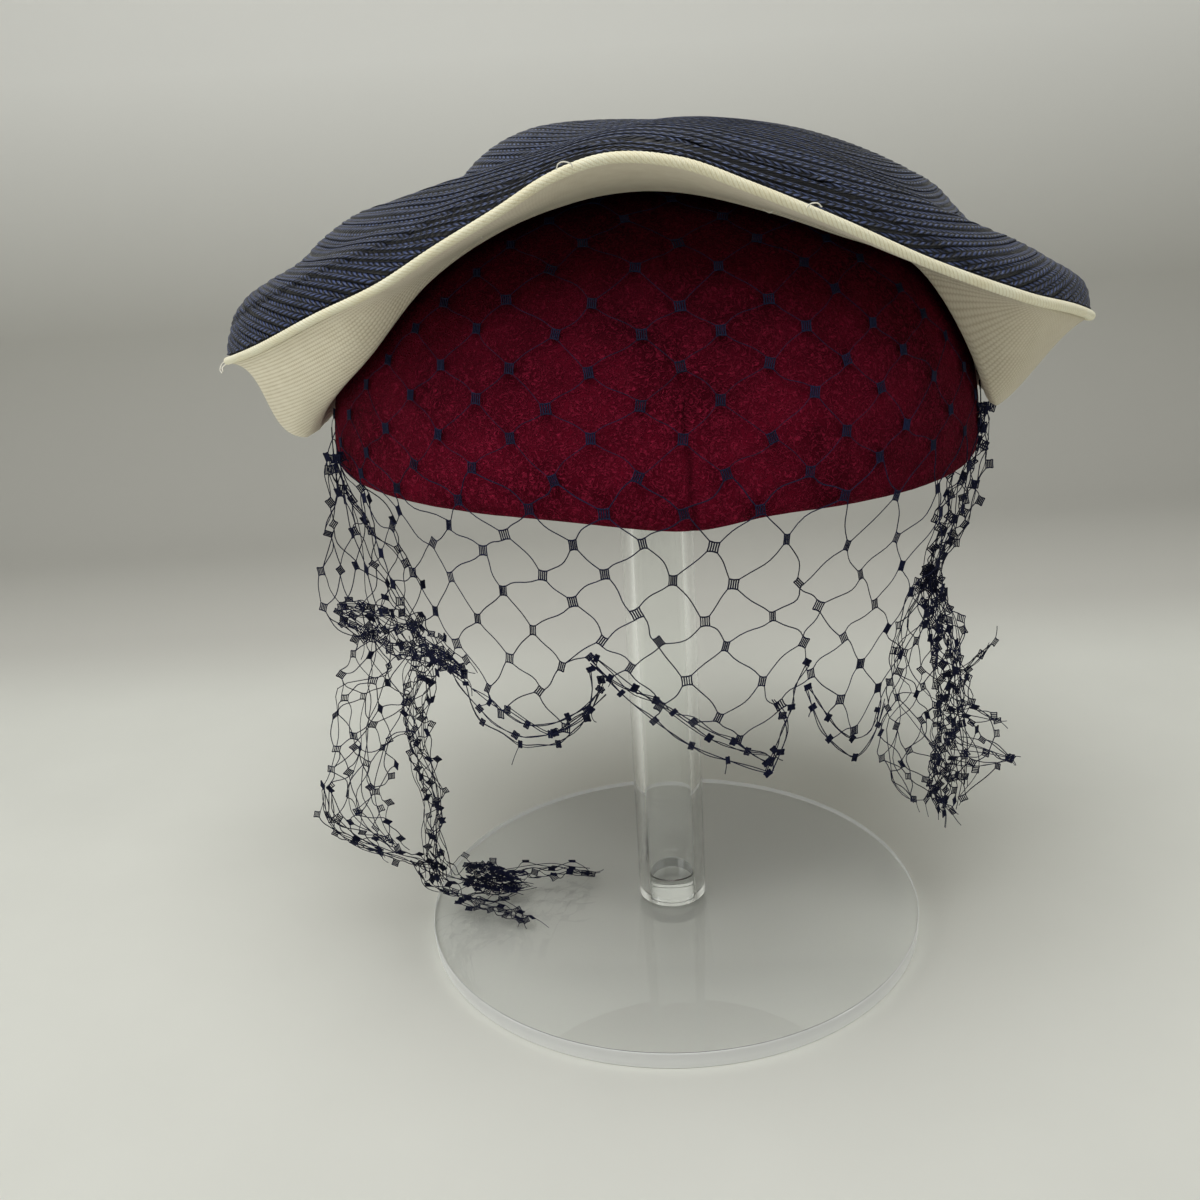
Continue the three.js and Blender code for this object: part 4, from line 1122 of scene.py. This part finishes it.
class BuildStand(bpy.types.Operator):
    """Turns the clear base disc, the post tube and the plug in its foot"""

    bl_idname = "fascinator.stand"
    bl_label = "Clear stand"

    def execute(self, context):
        acrylic = cast_acrylic()
        r, top, rim = BASE_RADIUS, BASE_TOP, 0.5
        foot = rounded((r - rim, rim), rim, -90)
        brim = rounded((r - rim, top - rim), rim, 0)
        disc = lathe("clear_base", [(0, 0), *foot, *brim, (0, top)], 256)
        dress(disc, acrylic, "clear_acrylic", "base_disc")
        disc.data.materials.append(polished_edge())
        for face in disc.data.polygons:
            face.material_index = int(math.hypot(*face.center[:2]) > (r - 0.8 * rim) * MM)
        r, bore, bevel = POST_RADIUS, POST_BORE, 0.3
        low, high = POST_LOW.z / MM, POST_HIGH.z / MM
        foot = [(bore, low), (r - bevel, low), (r, low + bevel)]
        brim = [(r, high - bevel), (r - bevel, high), (bore, high)]
        post = lathe("clear_post", foot + brim, 128)
        dress(post, acrylic, "clear_acrylic", "post_tube")
        r, low, high = PLUG_HIGH.x / MM, PLUG_LOW.z / MM, PLUG_HIGH.z / MM
        outline = [(0, low), (r, low), (r, high - bevel), (r - bevel, high), (0, high)]
        plug = lathe("clear_plug", outline, 96)
        dress(plug, acrylic, "clear_acrylic", "post_plug")
        for turned in (disc, post, plug):
            turned.data.set_sharp_from_angle(angle=30 * DEG)
        return {"FINISHED"}


class BuildPad(bpy.types.Operator):
    """Shapes the velour dome with its rolled rim, front seam and crushed pile"""

    bl_idname = "fascinator.pad"
    bl_label = "Velour top"

    def execute(self, context):
        columns, dome_rows, curl_rows, floor_rows, innermost = 540, 132, 19, 8, 8
        azimuth = np.linspace(-math.pi, math.pi, columns, endpoint=False)[None, :]
        turn = np.linspace(0.04, 0.5 * math.pi, dome_rows)[:, None]
        height = PAD_WIDEST + (PAD_TOP - PAD_WIDEST) * np.cos(turn)
        rings = [self.ring(pad_radius(height), azimuth, height)]
        off = azimuth / DEG - SEAM_AZIMUTH
        spread = np.where(off < 0, SEAM_SPREAD, 0.6 * SEAM_SPREAD)
        rim = PAD_RIM - SEAM_SAG * np.exp(-((off / spread) ** 2))
        roll = PAD_LIP_WIDTH / 2
        curl = np.linspace(0, math.pi, curl_rows)[1:, None]
        rolled = PAD_RADIUS - roll + roll * np.cos(curl)
        rings.append(self.ring(rolled, azimuth, rim + roll * (1 - np.sin(curl))))
        floor = np.linspace(PAD_RADIUS - PAD_LIP_WIDTH - 0.5, innermost, floor_rows)[:, None]
        rings.append(self.ring(floor, azimuth, np.full_like(floor, PAD_FLOOR)))
        poles = (tilted(0, 0, PAD_TOP), tilted(0, 0, PAD_FLOOR))
        vertices, faces, loops = grid_mesh(np.concatenate(rings), poles=poles)
        # The seam mark sets where the velour's finish paints shade along the front seam.
        marks = {"seam": self.seam(vertices, 0.7)}
        obj = mesh_object("velour_top", self.crushed(vertices), faces, loops, marks=marks)
        dress(obj, crushed_velour(), "velour", "velour_pad")
        return {"FINISHED"}

    @staticmethod
    def ring(radius, azimuth, height):
        """Places round the leaning pad, at a radius and height of its upright shape."""
        return tilted(radius * np.cos(azimuth), radius * np.sin(azimuth), height)

    @staticmethod
    def seam(vertices, width):
        """How near each place is to the front seam, from 0 to 1."""
        azimuth = np.degrees(np.arctan2(vertices[:, 1], vertices[:, 0]))
        lean = 0.03 * (vertices[:, 2] - PAD_WIDEST)
        return np.exp(-(((azimuth - SEAM_AZIMUTH + lean) * PAD_RADIUS * DEG / width) ** 2))

    @staticmethod
    def crushed(vertices):
        """Presses the pile: broad soft dents, small ripples and the pulled-in front seam."""
        dent_width, ripple_width, fade_in = 11, 2.2, 6
        out = unit(vertices - tilted(0.0, 0.0, PAD_WIDEST - 4.0))
        dents = np.array([noise.noise(Vector(v / dent_width)) for v in vertices])
        ripples = np.array([noise.noise(Vector(v / ripple_width)) for v in vertices])
        seam = BuildPad.seam(vertices, 1.0)
        shown = np.clip((vertices[:, 2] - PAD_RIM + fade_in) / fade_in, 0, 1)
        press = 0.25 * dents + 0.16 * ripples - 0.7 * seam - 0.1
        return vertices + out * (press * shown)[:, None]


class BuildStraw(bpy.types.Operator):
    """Sews the straw: shingled rows round the crown's middle, cut off by the bound edge"""

    bl_idname = "fascinator.straw"
    bl_label = "Straw rows"

    # One row's section: share of its width, and how high it stands there as a share of the row step.
    ROW_SECTION = table(
        "across rise",
        [(0.0, -0.5), (0.12, -0.15), (0.3, 0.1), (0.5, 0.02), (0.75, 0.5), (0.94, 0.4)],
    )

    # How much nearer the crown's middle a row may lie in front and on the right.
    CROWDING = 18.0

    def execute(self, context):
        settings = context.scene.fascinator_straw
        pitch, step = settings.row_pitch / MM, settings.row_step / MM
        columns, column_steps, inner_rows = 312, 500, 16
        t = np.linspace(-math.pi, math.pi, columns, endpoint=False)
        reach = np.linspace(0, 1, column_steps)
        walked = distance_along(straw_point(reach[:, None], t[None, :]))
        stop = walked[-1] - STRAW_SETBACK
        # The outer surface: rows as they are sewn, cut off where the bound edge stops them.
        count = int(np.ceil((stop.max() + self.CROWDING) / pitch))
        rows = (np.arange(count)[:, None] + self.ROW_SECTION["across"][None, :]).ravel()[2:]
        wander = self.wander(rows, t, pitch)
        ideal = rows[:, None] * pitch + wander
        place = np.minimum(ideal, stop[None, :])
        row_at = np.clip((place - wander) / pitch, 0.05, None)
        crown, groove, tuck = self.brim_groove(walked[-1] - place, t)
        shingled = step * self.shingle(rows, row_at, ideal < stop[None, :], pitch)
        lift = shingled * (1 - 0.55 * crown) + tuck
        outer = self.surface(self.reach_after(place, walked, reach), t, lift)
        # The plain inner surface, from the edge back to the crown's middle.
        inward = np.linspace(1, 0.03, inner_rows)[:, None]
        inner_reach = self.reach_after(inward * stop[None, :], walked, reach)
        inner = self.surface(inner_reach, t, np.full_like(inner_reach, 0.4 * step - STRAW_WALL))
        # What the straw's finish goes by: millimetres along a row, rows across, and the groove's marks,
        # which set where it paints shade in the groove and spares the row gaps on the crown.
        length = self.along(outer, rows)
        length = np.concatenate([length, np.repeat(length[-1:], inner_rows, axis=0)])
        row_at = np.concatenate([row_at, row_at[:, :1]], axis=1)
        row_at = np.concatenate([row_at, np.full((inner_rows, columns + 1), 0.5)])
        uv = np.stack([length, row_at], axis=-1)
        marks = {}
        for key, outside, inside in (("crown", crown, 1.0), ("groove", groove, 0.0)):
            values = np.append(outside.ravel(), np.full(inner_reach.size, inside))
            marks[key] = np.append(values, (values[0], values[-1]))
        poles = ((*CROWN[:2], CROWN[2] + 0.2), (*CROWN[:2], CROWN[2] - STRAW_WALL))
        grid = grid_mesh(np.concatenate([outer, inner]), uv, poles=poles)
        obj = mesh_object("straw_rows", *grid, marks=marks)
        dress(obj, dyed_straw(settings), "straw", "straw_body")
        return {"FINISHED"}

    @staticmethod
    def reach_after(distances, walked, reach):
        """The share of the way from the crown's middle to the edge, at distances down each column."""
        found = [np.interp(distances[:, k], walked[:, k], reach) for k in range(walked.shape[1])]
        return np.stack(found, axis=1)

    @staticmethod
    def surface(reach, t, lift):
        """Places that stand off the straw's surface by a lift."""
        return straw_point(reach, t[None, :]) + straw_normal(reach, t[None, :]) * lift[..., None]

    @staticmethod
    def shingle(rows, row_at, inside, pitch):
        """How high each place stands for the overlap of the rows, as a share of the row step. The rows
        are flatter near the crown's middle."""
        across, rise = BuildStraw.ROW_SECTION["across"], BuildStraw.ROW_SECTION["rise"]
        share = row_at - np.floor(row_at)
        height = np.interp(share, np.append(across, 1.0), np.append(rise, rise[0]))
        height = np.where(inside, np.interp(rows % 1, across, rise)[:, None], height)
        return np.clip(0.55 + 0.45 * (rows[:, None] * pitch - 50) / 30, 0.55, 1.0) * height

    @staticmethod
    def brim_groove(from_edge, t):
        """Where the crown's lowest row stands over the front brim: how far each place is part of the
        crown, how deep it lies in the groove between, and how much it is pressed in or out by it."""
        groove = read_table(GROOVE, "turn", "from_edge", np.degrees(t))[None, :]
        above = from_edge - groove
        shown = np.clip(groove / 3, 0, 1)
        crown = np.clip(0.5 + (above - 6 * (1 - shown)) / 2, 0, 1)
        deep = np.exp(-(((above + 0.5) / 0.7) ** 2)) * shown
        tuck = shown * (0.3 * np.tanh(above / 0.6) - 0.3 * deep) * np.exp(-np.abs(above) / 7)
        return crown, deep, tuck

    @staticmethod
    def wander(rows, t, pitch):
        """How far each row strays from an even distance round the crown's middle. Rows lie closer together
        in front and on the right, so they run down over the left wing, and hand sewing adds a little."""
        whole = np.floor(rows)[:, None]
        drift = 0.22 * np.sin(2 * t[None, :] + whole * 2.4) + 0.16 * np.sin(5 * t[None, :] + whole * 4.1)
        front = np.clip((t / DEG + 180) / 95, 0, 1)
        back = np.clip((180 - t / DEG) / 150, 0, 1)
        crowd = (front * front * (3 - 2 * front) * back * back * (3 - 2 * back))[None, :]
        reach = np.clip(rows[:, None] * pitch / 80, 0, 1)
        return drift * np.minimum(1, rows[:, None] / 6) - BuildStraw.CROWDING * crowd * reach

    @staticmethod
    def along(outer, rows):
        """Length along each row, the same at all places across it, so that the plait keeps its size."""
        length = distance_along(np.concatenate([outer, outer[:, :1]], axis=1), axis=1)
        whole = np.floor(rows).astype(int)
        return np.stack([length[whole == row].mean(axis=0) for row in whole])


class BuildFacing(bpy.types.Operator):
    """Stretches the cream facing from the binding in to its rolled lip"""

    bl_idname = "fascinator.facing"
    bl_label = "Brim facing"

    def execute(self, context):
        columns, steps = 360, 30
        t = np.linspace(-math.pi, math.pi, columns, endpoint=False)
        section, azimuth = facing_sections(t, steps)
        direction = unit(np.gradient(section, axis=1))
        back = section + np.stack([direction[..., 1], -direction[..., 0]], axis=-1) * FACING_WALL
        both = np.concatenate([section, back[:, ::-1]], axis=1)
        angle = azimuth[:, None] * DEG
        radius, height = both[..., 0], both[..., 1]
        points = np.stack([radius * np.cos(angle), radius * np.sin(angle), height], axis=-1)
        points = points.transpose(1, 0, 2)
        down = distance_along(points)
        down = np.concatenate([down, down[-1:] + 1])
        down = np.concatenate([down, down[:, :1]], axis=1)
        along = distance_along(edge_point(np.append(t, math.pi)))
        uv = np.stack([np.repeat(along[None, :], len(points) + 1, axis=0), down], axis=-1)
        obj = mesh_object("cotton_facing", *grid_mesh(points, uv, True))
        dress(obj, plain_cotton(), "cotton", "brim_facing")
        return {"FINISHED"}


class BuildBinding(bpy.types.Operator):
    """Twists the cream cord round the edge, and leaves its loose ends of sewing thread"""

    bl_idname = "fascinator.binding"
    bl_label = "Edge binding"

    def execute(self, context):
        columns, sides, twist_length = 3600, 20, 1.2
        t = np.linspace(-math.pi, math.pi, columns, endpoint=False)
        middle = edge_point(t)
        ahead = unit(edge_point(t + 0.01) - edge_point(t - 0.01))
        out = unit(np.stack([ahead[:, 1], -ahead[:, 0], np.zeros(columns)], axis=-1))
        up = np.cross(out, ahead)
        walked = distance_along(np.concatenate([middle, middle[:1]]))
        turn = np.linspace(0, 2 * math.pi, sides, endpoint=False)[:, None]
        twists = round(walked[-1] / twist_length)
        around = CORD_STRANDS * np.linspace(0, 1, sides + 1)[:, None]
        strand = twists * walked[None, :] / walked[-1] + around
        swell = CORD_RADIUS + 0.12 * np.cos(t - 0.2) + 0.05 * np.sin(7 * t)
        radius = swell + 0.22 * np.sqrt(np.abs(np.sin(math.pi * strand[:-1, :-1])))
        wide, tall = radius * np.cos(turn), radius * np.sin(turn)
        across = out[None] * wide[..., None] + up[None] * tall[..., None]
        uv = np.stack(np.broadcast_arrays(walked[None, :], strand), axis=-1)
        obj = mesh_object("edge_cord", *grid_mesh(middle[None] + across, uv, True))
        dress(obj, twisted_cord(), "cotton", "edge_binding")
        # The loose ends run like the net's long threads, and have no knots to place at random.
        ends = Net(context.scene.fascinator_net, None)
        for places in LOOSE_ENDS:
            ends.run(places)
        white = spun_thread("sewing_cotton_white", "#d9d3c0", "#fffdf4")
        dress(threads("loose_ends", ends.strokes, white, 6), white, "cotton")
        return {"FINISHED"}


class BuildVeil(bpy.types.Operator):
    """Knots the net veil over the velour, hanging in front and gathered at both sides"""

    bl_idname = "fascinator.veil"
    bl_label = "Net veil"

    # Each net: its cut width, in metres, and how it is held.
    CUTS = {"front": (0.26, "hung"), "left": (0.25, "gathered"), "right": (0.2, "gathered")}
    # The lattice's middle knot, as a place round the velour from the front and below its widest ring.
    MIDDLE_KNOT = (2.7, -14.2)
    # The azimuths where the open net ends, and where it ends on the right once it hangs.
    LEFT_END, RIGHT_END, HANGING_RIGHT_END = -172, -8, -31
    # Distance between the knots of the hem's rows, and how far the open net's threads reach to them.
    HEM_GAP, HEM_REACH = 5.5, 19

    def execute(self, context):
        settings = context.scene.fascinator_net
        material = spun_thread("viscose_net_thread", "#070916", "#1b2146")
        rng = np.random.default_rng(settings.seed)
        nets = {"front": self.front(settings, rng)}
        for name, gathers in (("left", LEFT_GATHERS), ("right", RIGHT_GATHERS)):
            net = Net(settings, rng)
            for number, gather in enumerate(gathers):
                self.gather(net, number, *gather)
            loop = np.array(STRAY_LOOPS[name], float)
            net.run(loop)
            net.tie("stray", loop[2], np.array([1.0, 0.2, 0.0]), np.array([0.0, 0.0, -1.0]), 0.3, 0.6)
            net.settle(BASE_TOP + 0.1)
            nets[name] = net
        for name, (width, held) in self.CUTS.items():
            obj = threads("veil_net_" + name, nets[name].strokes, material)
            dress(obj, material, "net", "veil_" + name)
        return {"FINISHED"}

    def front(self, settings, rng):
        """The open veil: a slack diamond lattice, from the lip down to the scalloped, crowded hem."""
        net = Net(settings, rng)
        self.lattice(net, settings.half_width / MM, settings.half_height / MM)
        lattice_knots = list(net.knots)
        for c, r in lattice_knots:
            slack, thickness = (0.05, 0.6) if r < 1 else (0.08, 1.0)
            net.join((c, r), (c + 1, r + 1), slack, thickness=thickness)
            net.join((c, r), (c - 1, r + 1), slack, thickness=thickness)
        hem_knots = self.hem(net)
        self.tie_to_hem(net, lattice_knots, hem_knots)
        for key in hem_knots:
            if rng.random() < 0.3:
                way = unit(np.array([rng.normal(0, 0.7), rng.normal(0, 0.3), -1.0]))
                net.fray(key, way, rng.uniform(1, 4))
        return net

    @staticmethod
    def lattice(net, half_width, half_height):
        """Ties the knots of the open net. Where it hangs below the velour's widest ring it is drawn
        together and askew."""
        rng = net.rng
        for c in range(-19, 20):
            for r in range(-12, 12):
                if (c + r) % 2:
                    continue
                sideways = BuildVeil.MIDDLE_KNOT[0] + (c + rng.normal(0, 0.08)) * half_width
                drop = BuildVeil.MIDDLE_KNOT[1] + (r + rng.normal(0, 0.08)) * half_height
                # From 0, on the velour, to 1, where the net hangs free.
                hang = max(0.0, min(1.0, (drop + 4) / 18))
                askew = rng.normal(0, 0.1) * half_width - 0.12 * drop
                sideways = sideways * (1 - 0.22 * hang) + hang * askew
                drop = drop + hang * (rng.normal(0, 0.1) * half_height + 0.07 * sideways)
                middle = veil_point(sideways, drop, VEIL_LIFT)
                azimuth = math.degrees(math.atan2(middle[1], middle[0]))
                lip = float(read_table(LIP, "azimuth", "height", np.array(azimuth)))
                hem = float(read_table(VEIL_HEM, "azimuth", "height", np.array(azimuth)))
                right_end = BuildVeil.RIGHT_END if drop < 0 else BuildVeil.HANGING_RIGHT_END
                if not BuildVeil.LEFT_END < azimuth < right_end or not hem + 1 < middle[2] < lip + 6:
                    continue
                across = unit(veil_point(sideways + 1, drop, VEIL_LIFT) - middle)
                down = unit(veil_point(sideways, drop + 1, VEIL_LIFT) - middle)
                narrow = rng.uniform(0.75 if hang < 0.5 else 0.5, 1.0)
                net.tie((c, r), middle, across, down, 0.16 + 0.14 * hang, narrow)

    def hem(self, net):
        """Runs the rows of the hem, each doubled, with knots along it, and gives the knots' keys."""
        rng = net.rng
        keys = []
        for number, corners in enumerate(HEM_ROWS):
            row = self.spaced(corners, self.HEM_GAP)
            lift = VEIL_LIFT + rng.uniform(-3.5, 0.5)
            places = [veil_point(a + rng.normal(0, 0.3), b + rng.normal(0, 0.3), lift) for a, b in row]
            net.run(places)
            net.run(np.array(places) + rng.normal(0, 0.5, (len(places), 3)), 0.9)
            for k in range(number % 2, len(row), 2):
                ahead = unit(places[min(k + 1, len(row) - 1)] - places[max(k - 1, 0)])
                side = unit(np.cross(ahead, veil_point(*row[k], lift + 1) - veil_point(*row[k], lift)))
                key = ("hem", number, k)
                net.tie(key, places[k], ahead, side, 0.35, rng.uniform(0.45, 0.9), 0.78)
                keys.append(key)
        return keys

    @staticmethod
    def tie_to_hem(net, lattice_knots, hem_knots):
        """Joins each knot that ends the open net to the hem's two nearest knots, if they are near."""
        for c, r in lattice_knots:
            gaps = [np.linalg.norm(net.knots[key][0] - net.knots[(c, r)][0]) for key in hem_knots]
            nearest = np.argsort(gaps)
            for number, side in enumerate((-1, 1)):
                ends = r > 1 and (c + side, r + 1) not in net.knots
                if ends and gaps[nearest[0]] < BuildVeil.HEM_REACH:
                    net.join((c, r), hem_knots[nearest[number]], 0.06)

    @staticmethod
    def spaced(corners, gap):
        """Places about a gap apart, on a smooth curve through the corners of a row."""
        corners = np.array(corners, float)
        walked = distance_along(corners)
        at = np.linspace(0, walked[-1], round(walked[-1] / gap) + 1)
        guide = {"walked": walked, "sideways": corners[:, 0], "drop": corners[:, 1]}
        return np.stack([read_table(guide, "walked", axis, at) for axis in ("sideways", "drop")], axis=-1)

    def gather(self, net, number, rows, columns, step, folds, drawn, facing):
        """Gathers net along a middle line: it is laid in folds across the line, crumples where drawn in,
        and long threads run along it, twisting a little."""
        rng = net.rng
        line = np.stack([rows["x"], rows["y"], rows["z"]], axis=-1)
        walked = distance_along(line)
        guide = dict(rows, walked=walked)
        count = max(2, int(walked[-1] / step))
        at = np.linspace(0, walked[-1], count + 1)
        middles = np.stack([read_table(guide, "walked", axis, at) for axis in "xyz"], axis=-1)
        along = unit(np.gradient(middles, axis=0))
        side = unit(np.cross(np.array(facing, float), along))
        through = unit(np.cross(along, side))
        wide = read_table(guide, "walked", "across", at)
        deep = read_table(guide, "walked", "deep", at)
        crumple = read_table(guide, "walked", "crumple", at)
        for r in range(count + 1):
            for c in range(columns):
                share = (c + 0.5 * (r % 2) + 0.25 + rng.normal(0, 0.12)) / columns
                leg = abs((share * folds) % 2 - 1)
                closed = 1 - crumple[r] * rng.uniform(0.2, 1.0)
                out = (2 * leg - 1) * wide[r] * closed + rng.normal(0, 0.5)
                depth = (2 * share - 1) * deep[r] + rng.normal(0, 0.5)
                slide = rng.normal(0, 0.16) * step
                place = middles[r] + side[r] * out + through[r] * depth + along[r] * slide
                turn = rng.normal(0, 0.5)
                across = side[r] * math.cos(turn) + through[r] * math.sin(turn)
                spin = 0.35 + 0.5 * crumple[r]
                net.tie((number, c, r), place, across, along[r], spin, rng.uniform(0.55, 1.0), 0.95)
        for r in range(count):
            for c in range(columns):
                for other in (c, c + 1 if r % 2 else c - 1):
                    net.join((number, c, r), (number, other, r + 1), 0.1, 0.03)
        for _ in range(drawn):
            start, twist, share = rng.uniform(0, 2 * math.pi), rng.normal(0, 0.03), rng.uniform(0.2, 1.0)
            angle = start + twist * at + rng.normal(0, 0.25, count + 1)
            out = (wide * share * np.cos(angle))[:, None] * side
            places = middles + out + (deep * share * np.sin(angle))[:, None] * through
            net.run(places + rng.normal(0, 0.4, places.shape), 0.9)
        for c in range(columns):
            way = unit(along[-1] + side[-1] * rng.normal(0, 0.5) + through[-1] * rng.normal(0, 0.3))
            net.fray((number, c, count), way, rng.uniform(1.5, 5))


class FascinatorPanel(bpy.types.Panel):
    """Lists the pieces of the fascinator"""

    bl_label = "Fascinator"
    bl_idname = "VIEW3D_PT_fascinator"
    bl_space_type = "VIEW_3D"
    bl_region_type = "UI"
    bl_category = "Fascinator"

    def draw(self, context):
        for name in GROUPS:
            group = getattr(context.scene, name)
            box = self.layout.box()
            for key in group.__annotations__:
                box.prop(group, key)
        for operator in OPERATORS:
            self.layout.operator(operator.bl_idname)


GROUPS = {
    "fascinator_straw": FascinatorStraw,
    "fascinator_net": FascinatorNet,
    "fascinator_stage": FascinatorStage,
}
OPERATORS = (BuildStage, BuildStand, BuildPad, BuildStraw, BuildBinding, BuildFacing, BuildVeil)


def register():
    for cls in (*GROUPS.values(), *OPERATORS, FascinatorPanel):
        bpy.utils.register_class(cls)
    for name, group in GROUPS.items():
        setattr(bpy.types.Scene, name, PointerProperty(type=group))


def unregister():
    for name in GROUPS:
        delattr(bpy.types.Scene, name)
    for cls in reversed((*GROUPS.values(), *OPERATORS, FascinatorPanel)):
        bpy.utils.unregister_class(cls)


def main():
    register()
    for name in ("stage", "stand", "pad", "straw", "binding", "facing", "veil"):
        getattr(bpy.ops.fascinator, name)()


if __name__ == "__main__":
    main()
